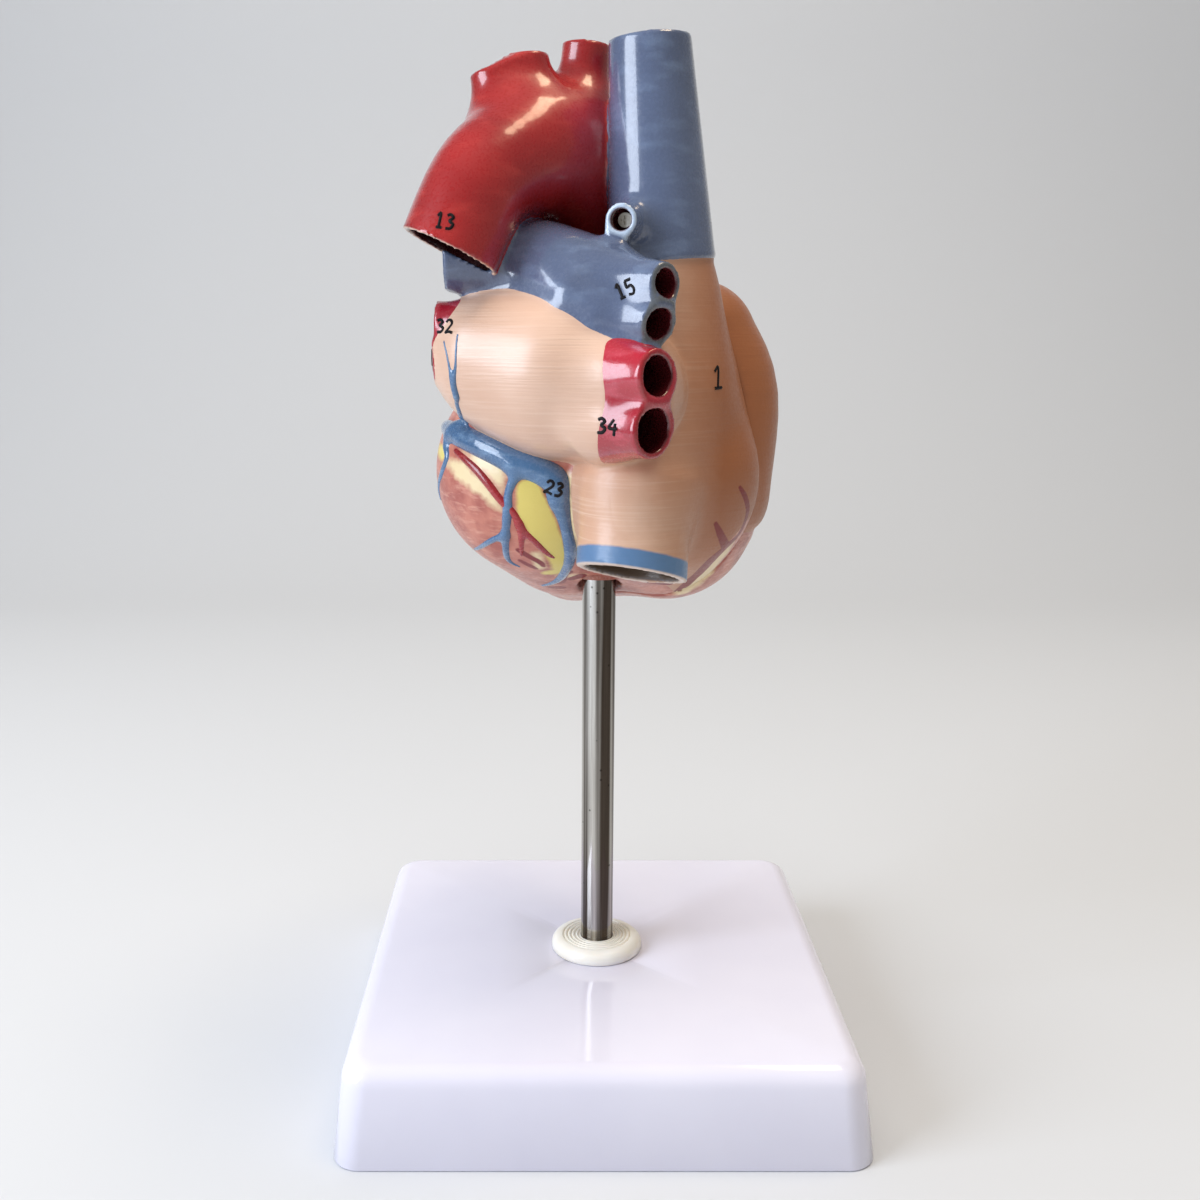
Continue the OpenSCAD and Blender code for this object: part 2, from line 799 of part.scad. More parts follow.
module right_pulmonary_veins() {
  color(vein_red)
    heart()
      difference() {
        vein_pair(right_vein_ends, right_vein_run, right_vein_d, 0, $fn = 64);
        for (i = [0, 1])
          along(right_vein_ends[i], right_vein_ends[i] - right_vein_run)
            translate([0, 0, -1])
              cylinder(h = vein_bore_depth + 1, r = right_vein_bores[i] / 2, $fn = 64);
      }
}

module left_pulmonary_veins() {
  color(vein_red)
    heart()
      difference() {
        vein_pair(left_vein_ends, left_vein_run, left_vein_ds, 0, $fn = 64);
        for (e = left_vein_ends)
          along(e, e - left_vein_run)
            translate([0, 0, -1])
              cylinder(h = vein_bore_depth - 1, r = left_vein_bore_d / 2, $fn = 64);
      }
}

module coronary_sinus() {
  color(sinus_blue)
    heart()
      difference() {
        sinus_form();
        ivc_seat();
      }
}

module back_coronary_arteries() {
  color(aorta_red)
    heart()
      difference() {
        back_artery_form();
        sinus_form();
        left_atrium_form();
      }
}

/* ---------- valves and their muscles ---------- */

module av_ring_seat(at, up) {
  along(at, up)
    cylinder(h = av_ring_h, r = av_ring_d / 2 + seat_fit, $fn = 48);
}

module mitral_seat() {
  av_ring_seat(mitral_at, mitral_up);
}

module tricuspid_seat() {
  av_ring_seat(tricuspid_at, tricuspid_up);
}

// a ring with a funnel of leaflets that hangs below it, split by slits
module av_valve(at, up, slits) {
  ring_r = av_ring_d / 2;
  mouth_r = ring_r - av_ring_w;
  tip_r = leaflet_tip_d / 2;
  color(leaflet_cream)
    heart()
      along(at, up)
        difference() {
          rotate_extrude($fn = 64)
            polygon([[ring_r, 0], [ring_r, av_ring_h], [mouth_r, av_ring_h], [mouth_r, 0],
                     [tip_r, -leaflet_l], [tip_r + leaflet_t, -leaflet_l], [mouth_r + leaflet_t, 0]]);
          for (a = slits)
            rotate([0, 0, a])
              translate([0, -slit_w / 2, -leaflet_l - 1])
                cube([ring_r, slit_w, leaflet_l + 1]);
        }
}

module mitral_valve() {
  av_valve(mitral_at, mitral_up, [0, 180]);
}

module tricuspid_valve() {
  av_valve(tricuspid_at, tricuspid_up, [30, 150, 270]);
}

module semilunar_seat(at, up) {
  along(at, up)
    cylinder(h = semilunar_ring_h, r = semilunar_d / 2 + seat_fit, $fn = 48);
}

module aortic_valve_seat() {
  semilunar_seat(aortic_valve_at, aortic_valve_up);
}

module pulmonary_valve_seat() {
  semilunar_seat(pulmonary_valve_at, pulmonary_valve_up);
}

// a ring with three cusps that meet in a Y
module semilunar_valve(at, up) {
  ring_r = semilunar_d / 2;
  mouth_r = ring_r - semilunar_ring_w;
  color(leaflet_cream)
    heart()
      along(at, up)
        difference() {
          rotate_extrude($fn = 64)
            polygon([[ring_r, 0], [ring_r, semilunar_ring_h], [mouth_r + leaflet_t, semilunar_ring_h],
                     [leaflet_t, semilunar_h], [0, semilunar_h], [0, semilunar_h - leaflet_t],
                     [mouth_r, semilunar_ring_h - leaflet_t], [mouth_r, 0]]);
          for (a = [0, 120, 240])
            rotate([0, 0, a])
              translate([0, -slit_w / 2, semilunar_ring_h])
                cube([mouth_r, slit_w, semilunar_h]);
        }
}

module aortic_valve() {
  semilunar_valve(aortic_valve_at, aortic_valve_up);
}

module pulmonary_valve() {
  semilunar_valve(pulmonary_valve_at, pulmonary_valve_up);
}

module papillary_muscles() {
  color(muscle_pink)
    heart() {
      intersection() {
        chambers();
        for (m = papillaries)
          form([m[0], m[1]], $fn = 14);
      }
      for (m = papillaries)
        for (c = m[2])
          rod_between([m[1][0], m[1][1], m[1][2]], c, chorda_d / 2, chorda_d / 2, $fn = 8);
    }
}

/* ---------- seam fasteners ---------- */

module locating_pins() {
  color(steel)
    heart()
      pins(pin_d / 2, seam_y - pin_in, seam_y + pin_out);
}

module back_magnets() {
  color(steel)
    heart()
      magnets(magnet_d / 2, seam_y - magnet_t, seam_y);
}

module front_magnets() {
  color(steel)
    heart()
      magnets(magnet_d / 2, seam_y + seam_gap, seam_y + seam_gap + magnet_t);
}

/* ---------- front wall ---------- */

module front_wall() {
  color(muscle_pink)
    heart()
      difference() {
        front_half()
          front_form();
        auricle_side();
        chambers();
        vessel_ways();
        front_fastener_seats();
      }
}

module right_auricle() {
  color(atrium_beige)
    heart()
      difference() {
        intersection() {
          front_half()
            front_form();
          auricle_side();
        }
        chambers();
        vessel_ways();
        front_fastener_seats();
      }
}

// a flat path of [x, z] points as a wall through the front of the heart
module path_wall(path, w) {
  translate([0, far / 2, 0])
    rotate([90, 0, 0])
      linear_extrude(far / 2 - seam_y - relief_from)
        for (i = [0 : len(path) - 2])
          hull() {
            translate(path[i])
              circle(d = w * (1 - 0.5 * i / len(path)), $fn = 10);
            translate(path[i + 1])
              circle(d = w * (1 - 0.5 * (i + 1) / len(path)), $fn = 10);
          }
}

module front_artery_walls(fit = 0) {
  for (a = front_arteries)
    path_wall(a, front_artery_w + 2 * fit);
}

module front_relief() {
  intersection() {
    difference() {
      front_form(relief_h);
      front_form();
      vessel_ways();
    }
    children();
  }
}

module front_coronary_arteries() {
  color(aorta_red)
    heart()
      front_relief()
        front_artery_walls();
}

module front_coronary_veins() {
  color(sinus_blue)
    heart()
      front_relief()
        difference() {
          for (v = front_veins)
            path_wall(v, front_vein_w);
          front_artery_walls(seat_fit);
        }
}

/* ---------- parts to show ---------- */

// the part to draw, or all of them

base_shell();
collar_ring();
support_rod();
rod_washer();
rod_nut();
rod_socket();
socket_boss();
heart_back();
left_atrium();
right_atrium();
left_auricle();
aorta_arch();
pulmonary_trunk();
superior_vena_cava();
azygos_screw();
inferior_vena_cava();
right_pulmonary_veins();
left_pulmonary_veins();
coronary_sinus();
back_coronary_arteries();
mitral_valve();
tricuspid_valve();
aortic_valve();
pulmonary_valve();
papillary_muscles();
locating_pins();
back_magnets();
front_wall();
right_auricle();
front_coronary_arteries();
front_coronary_veins();
front_magnets();
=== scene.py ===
import math

import bpy
import numpy as np
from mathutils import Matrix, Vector
from mathutils.bvhtree import BVHTree


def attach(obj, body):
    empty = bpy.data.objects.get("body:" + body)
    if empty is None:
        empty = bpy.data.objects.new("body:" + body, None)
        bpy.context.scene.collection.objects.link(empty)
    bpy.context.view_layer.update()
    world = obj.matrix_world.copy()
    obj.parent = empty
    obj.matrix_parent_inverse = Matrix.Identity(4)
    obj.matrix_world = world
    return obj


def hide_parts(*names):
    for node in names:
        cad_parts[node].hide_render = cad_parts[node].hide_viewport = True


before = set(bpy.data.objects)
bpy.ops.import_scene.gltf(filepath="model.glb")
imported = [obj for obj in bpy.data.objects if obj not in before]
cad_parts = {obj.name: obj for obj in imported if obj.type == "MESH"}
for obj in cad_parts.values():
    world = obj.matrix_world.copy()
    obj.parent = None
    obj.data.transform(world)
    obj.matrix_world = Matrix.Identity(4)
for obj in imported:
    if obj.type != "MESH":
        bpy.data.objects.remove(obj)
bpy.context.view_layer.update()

# ---------------------------------------------------------------------------
# Base: a square foot moulded in white ABS in one shot, open underneath. A
# polished mould leaves its faces glossy; a boss and four ribs under the top
# stiffen it where the rod is bolted through.
# ---------------------------------------------------------------------------
MM = 0.001
base_width, base_height, base_wall = 140.0, 26.8, 2.6
side_lean, foot_corner, top_edge = 2.3, 7.5, 5.5
base_boss_radius, base_boss_drop = 12.0, 6.0
rib_thickness, rib_height = 2.0, 7.0
rod_hole_radius, washer_recess = 4.9, 10.5
washer_top, hole_chamfer = 18.2, 0.6
flat_ring, rib_end, boss_round, boss_fillet = 40.0, 88.0, 0.5, 0.8
roll_steps = 8


def linear(hex_code):
    """An sRGB hex colour as a linear RGBA value."""
    parts = [int(hex_code[i:i + 2], 16) / 255 for i in (1, 3, 5)]
    return [c / 12.92 if c <= 0.04045 else ((c + 0.055) / 1.055) ** 2.4 for c in parts] + [1.0]


def add(material, kind, settings=None, links=None):
    """Adds one shader node, with its settings by name and its links from sockets or from nodes' first outputs."""
    node = material.node_tree.nodes.new("ShaderNode" + kind)
    for key, value in (settings or {}).items():
        if key == "stops":
            while len(node.color_ramp.elements) < len(value):
                node.color_ramp.elements.new(0.5)
            for stop, (place, colour) in zip(node.color_ramp.elements, value):
                stop.position, stop.color = place, colour
        elif isinstance(key, int) or key in node.inputs:
            node.inputs[key].default_value = value
        else:
            setattr(node, key, value)
    for key, source in (links or {}).items():
        socket = source.outputs[0] if isinstance(source, bpy.types.Node) else source
        material.node_tree.links.new(socket, node.inputs[key])
    return node


def new_material(name, turn=0.0):
    """An empty material, and its object's own coordinates in millimetres, turned about the upright."""
    material = bpy.data.materials.new(name)
    material.use_nodes = True
    material.node_tree.nodes.clear()
    place = add(material, "TexCoord")
    to_mm = {"Scale": (1 / MM,) * 3, "Rotation": (0, 0, turn)}
    return material, add(material, "Mapping", to_mm, {"Vector": place.outputs["Object"]})


def mesh_piece(name, points, faces, material, smooth=True):
    """A mesh object from points in millimetres in the row frame."""
    mesh = bpy.data.meshes.new(name)
    mesh.from_pydata((np.asarray(points, float) * MM).tolist(), [], [list(map(int, f)) for f in faces])
    mesh.polygons.foreach_set("use_smooth", [smooth] * len(mesh.polygons))
    mesh.materials.append(material)
    piece = bpy.data.objects.new(name, mesh)
    bpy.context.scene.collection.objects.link(piece)
    return piece


def rings_joined(rings, closed_ends=False):
    """Points and faces of a skin through rings of equal point counts."""
    count = len(rings[0])
    points = [p for ring in rings for p in ring]
    faces = []
    for i in range(len(rings) - 1):
        for j in range(count):
            k = (j + 1) % count
            faces.append((i * count + j, i * count + k, (i + 1) * count + k, (i + 1) * count + j))
    if closed_ends:
        faces.append(tuple(reversed(range(count))))
        faces.append(tuple(range((len(rings) - 1) * count, len(rings) * count)))
    return points, faces


def rounded_square(half, corner, z, per_corner=14):
    ring = []
    for turn in range(4):
        middle = math.pi / 2 * turn + math.pi / 4
        cx = (half - corner) * math.copysign(1, math.cos(middle))
        cy = (half - corner) * math.copysign(1, math.sin(middle))
        for i in range(per_corner + 1):
            angle = math.pi / 2 * (turn + i / per_corner)
            ring.append((cx + corner * math.cos(angle), cy + corner * math.sin(angle), z))
    return ring


def circle_like(ring, radius, z):
    """A circle whose points lie in the same directions as another ring's."""
    return [(radius * x / math.hypot(x, y), radius * y / math.hypot(x, y), z) for x, y, _ in ring]


def base_side(inset):
    """Rings up one face of the shell, brought in by an inset, and over the rolled top edge."""
    half, top = base_width / 2 - inset, base_height - inset
    edge, corner = top_edge - inset, foot_corner - inset
    rings = [rounded_square(half, corner, 0.0)]
    lean_top = half - side_lean
    for i in range(roll_steps + 1):
        angle = math.pi / 2 * i / roll_steps
        rings.append(rounded_square(lean_top - edge + edge * math.cos(angle),
                                    corner - (edge - edge * math.cos(angle)) * corner / (corner + edge),
                                    top - edge + edge * math.sin(angle)))
    return rings


outside = base_side(0.0)
inside = base_side(base_wall)
foot_round = 0.5
lip = [rounded_square(base_width / 2 - foot_round * 0.7, foot_corner - foot_round * 0.7, 0.0)]
outside[0] = rounded_square(base_width / 2, foot_corner, foot_round)
guide = outside[-1]
under_top = base_height - base_wall
rings = list(reversed(inside)) + lip + outside
rings += [circle_like(guide, radius, base_height) for radius in (flat_ring, rod_hole_radius + hole_chamfer)]
rings += [circle_like(guide, rod_hole_radius, base_height - hole_chamfer),
          circle_like(guide, rod_hole_radius, washer_top)]
rings += [circle_like(guide, washer_recess, washer_top),
          circle_like(guide, washer_recess, under_top - base_boss_drop),
          circle_like(guide, base_boss_radius - boss_round, under_top - base_boss_drop),
          circle_like(guide, base_boss_radius, under_top - base_boss_drop + boss_round),
          circle_like(guide, base_boss_radius, under_top - boss_fillet),
          circle_like(guide, base_boss_radius + boss_fillet, under_top), circle_like(guide, flat_ring, under_top)]
points, faces = rings_joined(rings)
count = len(guide)
last = (len(rings) - 1) * count
faces += [(last + j, last + (j + 1) % count, (j + 1) % count, j) for j in range(count)]
for turn in (45, 135, 225, 315):
    # each rib is a thin wedge-ended plate from the boss to the corner, sunk into both
    c, s = math.cos(math.radians(turn)), math.sin(math.radians(turn))
    start, end = base_boss_radius - boss_round, rib_end
    low, high, half = under_top - rib_height, under_top + 0.3, rib_thickness / 2
    corner_points = [(start, -half, high), (start, half, high), (end, half, high), (end, -half, high),
                     (start, -half * 0.8, low), (start, half * 0.8, low), (end, half * 0.8, low),
                     (end, -half * 0.8, low)]
    first = len(points)
    points += [(x * c - y * s, x * s + y * c, z) for x, y, z in corner_points]
    faces += [tuple(first + i for i in f) for f in
              ((0, 1, 2, 3), (7, 6, 5, 4), (0, 4, 5, 1), (1, 5, 6, 2), (2, 6, 7, 3), (3, 7, 4, 0))]

# ABS, moulded: near-white with a cool cast, a mirror-like skin, and the faint
# hairlines and dull specks that years of wiping leave on it
abs_white, mm_place = new_material("white_abs_moulded")
cloud = add(abs_white, "TexNoise", {"Scale": 0.02, "Detail": 3.0}, {"Vector": mm_place})
tint = add(abs_white, "ValToRGB", {"stops": [(0.3, linear("#dfddec")), (0.7, linear("#e6e4f1"))]}, {"Fac": cloud})
hair = add(abs_white, "TexNoise", {"Scale": 0.9, "Detail": 2.0, "Distortion": 2.5}, {"Vector": mm_place})
dull = add(abs_white, "MapRange", {"From Min": 0.62, "From Max": 0.75, "To Min": 0.1, "To Max": 0.24},
           {"Value": hair})
wave = add(abs_white, "TexNoise", {"Scale": 0.035, "Detail": 1.0}, {"Vector": mm_place})
sink = add(abs_white, "Bump", {"Strength": 0.04, "Distance": 0.4 * MM}, {"Height": wave})
shell = add(abs_white, "BsdfPrincipled",
            {"IOR": 1.53, "Subsurface Weight": 0.04, "Subsurface Radius": (0.002, 0.002, 0.002)},
            {"Base Color": tint, "Roughness": dull, "Normal": sink})
add(abs_white, "OutputMaterial", None, {"Surface": shell})

base = mesh_piece("square_base", points, faces, abs_white)
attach(base, "stand")
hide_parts("base_shell")

# ---------------------------------------------------------------------------
# Collar: a loose ring of cream polyethylene that hides the hole in the base.
# It is turned, so its top keeps fine rings from the tool, and it has yellowed; shade is painted dark into the rings
# near the rod.
# ---------------------------------------------------------------------------
collar_radius, collar_top_radius, collar_height, collar_side = 13.5, 10.5, 4.0, 1.4
collar_bore, collar_lift, collar_round = 4.8, 0.02, 0.4
ring_pitch, ring_depth = 1.15, 0.6


def turned(profile, around=128):
    """Points and faces of a lathe-turned skin from (radius, z) points, open at its ends."""
    rings = [[(r * math.cos(2 * math.pi * i / around), r * math.sin(2 * math.pi * i / around), z)
              for i in range(around)] for r, z in profile]
    return rings_joined(rings)


profile = [(collar_bore, base_height + collar_lift), (collar_radius - collar_round, base_height + collar_lift),
           (collar_radius, base_height + collar_round)]
profile += [(collar_radius, base_height + collar_side)]
for i in range(1, 13):
    angle = math.pi / 2 * i / 12
    profile.append((collar_top_radius + (collar_radius - collar_top_radius) * math.cos(angle),
                    base_height + collar_side + (collar_height - collar_side) * math.sin(angle)))
steps = 60
for i in range(1, steps + 1):
    radius = collar_top_radius + (collar_bore + 0.3 - collar_top_radius) * i / steps
    groove = 0.5 - 0.5 * math.cos(2 * math.pi * (radius - collar_bore) / ring_pitch)
    profile.append((radius, base_height + collar_height - ring_depth * groove ** 3))
profile += [(collar_bore, base_height + collar_height - collar_round), (collar_bore, base_height + collar_lift)]

# polyethylene, turned: soft and waxy, cream, yellower where light has aged it, with painted shade darkening the
# tool rings near the rod
cream_polyethylene, mm_place = new_material("cream_polyethylene_turned")
patch = add(cream_polyethylene, "TexNoise", {"Scale": 0.07, "Detail": 2.0}, {"Vector": mm_place})
aged_tone_and_groove_shade = add(cream_polyethylene, "ValToRGB", {"stops": [(0.35, linear("#f8f6f1")), (0.7, linear("#f1ebdc"))]},
           {"Fac": patch})
flat_place = add(cream_polyethylene, "VectorMath", {"operation": "MULTIPLY", 1: (1.0, 1.0, 0.0)}, {0: mm_place})
out_from_rod = add(cream_polyethylene, "VectorMath", {"operation": "LENGTH"}, {0: flat_place})
turn = add(cream_polyethylene, "Math",
           {"operation": "MULTIPLY_ADD", 1: 1 / ring_pitch, 2: 0.5 - collar_bore / ring_pitch},
           {0: out_from_rod.outputs["Value"]})
across_ring = add(cream_polyethylene, "Math", {"operation": "PINGPONG", 1: 0.5}, {0: turn})
# painted shade: the bottoms of the tool rings within 9.5 mm of the rod's axis are coloured dark brown
painted_groove_shade = add(cream_polyethylene, "MapRange", {"From Min": 0.36, "From Max": 0.5, "To Max": 0.55},
             {"Value": across_ring})
inner = add(cream_polyethylene, "MapRange", {"From Min": 9.5, "From Max": 6.5},
            {"Value": out_from_rod.outputs["Value"]})
groove_shade_mask = add(cream_polyethylene, "Math", {"operation": "MULTIPLY"}, {0: painted_groove_shade, 1: inner})
# the painted shade in the rings is laid over the yellowed cream
aged_tone_and_groove_shade = add(cream_polyethylene, "Mix", {"data_type": "RGBA", 7: linear("#6d5f4d")}, {0: groove_shade_mask, 6: aged_tone_and_groove_shade})
fine = add(cream_polyethylene, "TexNoise", {"Scale": 2.5, "Detail": 2.0}, {"Vector": mm_place})
tool = add(cream_polyethylene, "Bump", {"Strength": 0.15, "Distance": 0.1 * MM}, {"Height": fine})
wax = add(cream_polyethylene, "BsdfPrincipled", {"IOR": 1.51, "Roughness": 0.32, "Subsurface Weight": 0.15,
          "Subsurface Radius": (0.003, 0.0025, 0.002)}, {"Base Color": aged_tone_and_groove_shade.outputs[2], "Normal": tool})
add(cream_polyethylene, "OutputMaterial", None, {"Surface": wax})

collar = mesh_piece("rod_collar", *turned(profile), cream_polyethylene)
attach(collar, "stand")
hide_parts("collar_ring")

# ---------------------------------------------------------------------------
# Rod: a length of drawn steel bar, polished along its length and scuffed from
# use. Its thinned lower end goes through the base; the top end is chamfered.
# ---------------------------------------------------------------------------
rod_radius, rod_end_radius, rod_chamfer = 4.75, 3.9, 0.8
rod_foot, rod_shoulder, rod_top, rod_axis = 8.7, 18.2, 168.0, 0.01
rod_profile = [(rod_axis, rod_foot), (rod_end_radius - rod_chamfer, rod_foot),
               (rod_end_radius, rod_foot + rod_chamfer), (rod_end_radius, rod_shoulder - 0.05),
               (rod_radius - 0.1, rod_shoulder - 0.05), (rod_radius, rod_shoulder + 0.1)]
rod_profile += [(rod_radius, rod_shoulder + (rod_top - rod_chamfer - rod_shoulder) * i / 40) for i in range(1, 41)]
rod_profile += [(rod_radius - rod_chamfer, rod_top), (rod_axis, rod_top)]

# steel, drawn and polished: a mirror broken by lengthwise hairlines, duller in
# worn patches, with broad dark and bright lengthwise bands painted in as
# reflections, and a few small dark pits
drawn_steel, mm_place = new_material("steel_bar_polished")
along_rod = add(drawn_steel, "Mapping", {"Scale": (1.6, 1.6, 0.03)}, {"Vector": mm_place})
broad = add(drawn_steel, "Mapping", {"Scale": (0.28, 0.28, 0.003), "Location": (3.1, 0.4, 0)}, {"Vector": mm_place})
band = add(drawn_steel, "TexNoise", {"Scale": 1.0, "Detail": 2.0, "Roughness": 0.6}, {"Vector": broad})
hairline = add(drawn_steel, "TexNoise", {"Scale": 1.0, "Detail": 4.0, "Roughness": 0.7}, {"Vector": along_rod})
scuff = add(drawn_steel, "TexNoise", {"Scale": 0.16, "Detail": 5.0, "Roughness": 0.75}, {"Vector": mm_place})
scuffed = add(drawn_steel, "MapRange", {"From Min": 0.45, "From Max": 0.72}, {"Value": scuff})
rough = add(drawn_steel, "MapRange", {"To Min": 0.09, "To Max": 0.24}, {"Value": scuffed})
speck = add(drawn_steel, "TexVoronoi", {"Scale": 0.22}, {"Vector": mm_place})
pit = add(drawn_steel, "MapRange", {"From Min": 0.05, "From Max": 0.09, "To Min": 0.35, "To Max": 1.0},
          {"Value": speck.outputs["Distance"]})
fine_grey = add(drawn_steel, "ValToRGB", {"stops": [(0.25, linear("#b5b2ad")), (0.75, linear("#e2e0dc"))]},
                {"Fac": hairline})
# painted reflection: broad lengthwise bands from dark brown-grey to near-white stand in for a dark room and a
# bright window mirrored in the bar
reflection_bands_painted = add(drawn_steel, "ValToRGB", {"stops": [(0.46, linear("#5c534c")), (0.62, linear("#f4f3f1"))]},
                {"Fac": band})
grey = add(drawn_steel, "Mix", {"data_type": "RGBA", "blend_type": "MULTIPLY", 0: 1.0},
           {6: fine_grey, 7: reflection_bands_painted})
pitted = add(drawn_steel, "Mix", {"data_type": "RGBA", "blend_type": "MULTIPLY", 0: 1.0},
             {6: grey.outputs[2], 7: pit})
lines = add(drawn_steel, "Bump", {"Strength": 0.12, "Distance": 0.05 * MM}, {"Height": hairline})
bar = add(drawn_steel, "BsdfPrincipled", {"Metallic": 1.0}, {"Base Color": pitted.outputs[2], "Roughness": rough,
                                                             "Normal": lines})
add(drawn_steel, "OutputMaterial", None, {"Surface": bar})

rod = mesh_piece("steel_rod", *turned(rod_profile, 96), drawn_steel)
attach(rod, "stand")
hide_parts("support_rod")
edge_split = rod.modifiers.new("shoulders", "EDGE_SPLIT")
edge_split.split_angle = math.radians(35)

# ---------------------------------------------------------------------------
# Hardware: washer, nut, sleeve, pins and the screw in the azygos stump, all
# small zinc-plated steel, and nickel-plated disc magnets glued in the seam.
# Their CAD solids are right, so they keep them, with a softened edge.
# ---------------------------------------------------------------------------
# steel, zinc plated: a thin bright film, slightly blue and cloudy
zinc_plate, mm_place = new_material("steel_zinc_plated")
bloom = add(zinc_plate, "TexNoise", {"Scale": 0.9, "Detail": 4.0}, {"Vector": mm_place})
film = add(zinc_plate, "ValToRGB", {"stops": [(0.3, linear("#b9b5a8")), (0.7, linear("#d2d0c9"))]}, {"Fac": bloom})
dulled = add(zinc_plate, "MapRange", {"To Min": 0.22, "To Max": 0.42}, {"Value": bloom})
plate = add(zinc_plate, "BsdfPrincipled", {"Metallic": 1.0}, {"Base Color": film, "Roughness": dulled})
add(zinc_plate, "OutputMaterial", None, {"Surface": plate})

# nickel, plated on the magnets: warmer and brighter than zinc
nickel_plate, mm_place = new_material("nickel_plated_magnet")
rub = add(nickel_plate, "TexNoise", {"Scale": 1.4, "Detail": 5.0}, {"Vector": mm_place})
shine = add(nickel_plate, "MapRange", {"To Min": 0.08, "To Max": 0.26}, {"Value": rub})
disc = add(nickel_plate, "BsdfPrincipled", {"Metallic": 1.0, "Base Color": linear("#d8d3c6")}, {"Roughness": shine})
add(nickel_plate, "OutputMaterial", None, {"Surface": disc})


def dress(node, material, edge_mm):
    """Gives a carried-over CAD node its material and a softened edge."""
    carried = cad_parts[node]
    carried.data.materials.clear()
    carried.data.materials.append(material)
    soften = carried.modifiers.new("softened_edge", "BEVEL")
    soften.width, soften.segments, soften.limit_method = edge_mm * MM, 2, "ANGLE"
    soften.angle_limit = math.radians(40)


for node, edge_mm in (("rod_washer", 0.15), ("rod_nut", 0.3), ("rod_socket", 0.1), ("azygos_screw", 0.12),
                      ("locating_pins", 0.3)):
    dress(node, zinc_plate, edge_mm)
for node in ("back_magnets", "front_magnets"):
    dress(node, nickel_plate, 0.2)

# ---------------------------------------------------------------------------
# Heart, back half of the ventricles: rotocast in rigid PVC, filed at the seam
# and painted by hand. Its form is a string of round swellings, so the whole
# heart is worked out as distances to such strings on one fine grid.
# ---------------------------------------------------------------------------
heart_height, heart_turn = 141.0, 25.0
step, reach = 0.8, 12.0
grid_low, grid_high = np.array([-47.0, -61.0, -18.0]), np.array([47.0, 53.0, 146.0])
axes = [np.arange(grid_low[k], grid_high[k], step, dtype=np.float32) for k in range(3)]
spots = np.stack(np.meshgrid(*axes, indexing="ij"), -1)
seam_back, seam_front = 8.5, 8.8

# each swelling is x to the patient's right, y to the front, z up from the socket, and its radius
left_ventricle = [[-15, -5, 30, 30], [-14, 12, 17.5, 26.5], [-24, 36, -1, 14]]
right_ventricle = [[14, 6, 27, 28], [12, 20, 17, 26], [-10, 34, 6, 18], [-22, 35, 1, 14]]
# the casting is thicker over the magnet that lies nearest its left edge
magnet_swelling = [[-38.2, 7.0, 32, 4], [-38.2, 10.4, 32, 4]]
chamber_strings = [
    [[19, 0, 53, 13], [20, -0.5, 37, 7.2], [20, 6, 22, 9.5], [14, 22, 17, 13], [-6, 29, 40, 9], [-15, 31, 58, 8.6]],
    [[19, 0, 53, 13], [21, 20, 52, 14], [19, 21, 62, 10]],
    [[19, -21, 29, 9], [19, -20, 37, 9], [19, -10, 53, 12], [19, -5, 84, 10]],
    [[-3, -24, 60, 14], [-15, -8, 48, 7.2], [-22, 2, 38, 12], [-24, 18, 18, 9.5], [-25, 31, 6, 6]],
    [[-20, 3, 40, 9], [-5, 9, 56, 9]]]
left_atrium_body = [[-14, -26, 60, 18.5], [2, -27, 57.5, 21.3], [15, -26.5, 53.2, 18.4]]
left_atrium_side = [[-4, -25, 59, 20], [-17, -32, 62, 14.3]]
left_auricle_fold = [[-22, -12, 64, 10], [-33, 4, 66, 8.5], [-30, 20, 67, 6]]
atrium_back = [[17.5, 0, 72, 15], [16.5, 1, 54, 21.5], [14, 4, 31, 29]]
atrium_column = [[18.6, -4.4, 82, 14], [18.5, -9, 52, 19], [19, -18, 37, 15.5], [19.3, -21.4, 29, 15]]
aorta_path = [[-4, 8, 50, 12], [-3, 11.5, 70, 12.3], [-3, 10, 90, 13], [-6, 2, 105, 15], [-11, -8.4, 112, 16],
              [-14.7, -21.2, 111, 14.8], [-18.7, -34.3, 103.5, 13.1], [-23.4, -46, 83, 12.4]]
aorta_end, aorta_end_way = (-22, -44.5, 87.7), (-0.36, -0.25, -0.9)
arch_crest = [[-15, -14, 115, 14], [-8, -2, 118, 14.5]]
arch_branches = [((-17.5, -20, 112), (-22.3, -20.4, 133), 6.8, 5.6, 3.2),
                 ((-13, -14, 112), (-15.2, -14.3, 137.5), 6.8, 5.6, 3.6),
                 ((-7, 0, 108), (-5.1, 0.9, 142), 7.6, 6.3, 4.4)]
trunk_path = [[-13, 33, 44, 11], [-15, 31, 60, 11], [-22, 22, 72, 11], [-26.5, 8, 82, 10.5], [-20, -9, 86, 10.5],
              [-9, -21.5, 83.5, 11.5], [1, -25.5, 81.5, 12.3], [14, -27, 78, 10.8]]
trunk_left, trunk_left_cut = [[-9, -22, 83.5, 11], [-31, -37.5, 86.7, 7.4]], 40.6
trunk_skirt = [[-1.5, -31.9, 78.7, 5.5], [7.3, -35.5, 75.5, 6.2], [14, -35.1, 71.7, 6.2], [21.7, -32.8, 68.5, 5.5]]
trunk_branches = [((12, -26, 79.5), (31.7, -34.9, 79.5), 9, 4.85, 3.4),
                  ((12, -26, 75), (30.7, -36.5, 70), 9.5, 5.25, 3.65)]
cava_top, cava_foot = (15.4, -6.1, 140.5), (18.9, -4.4, 86.2)
cava_top_radius, cava_foot_radius, cava_wall = 10.4, 14.0, 2.4
azygos_root, azygos_end, azygos_radius, azygos_bore = (14.9, -12.9, 95.5), (16.7, -27.5, 95), 4.0, 2.6
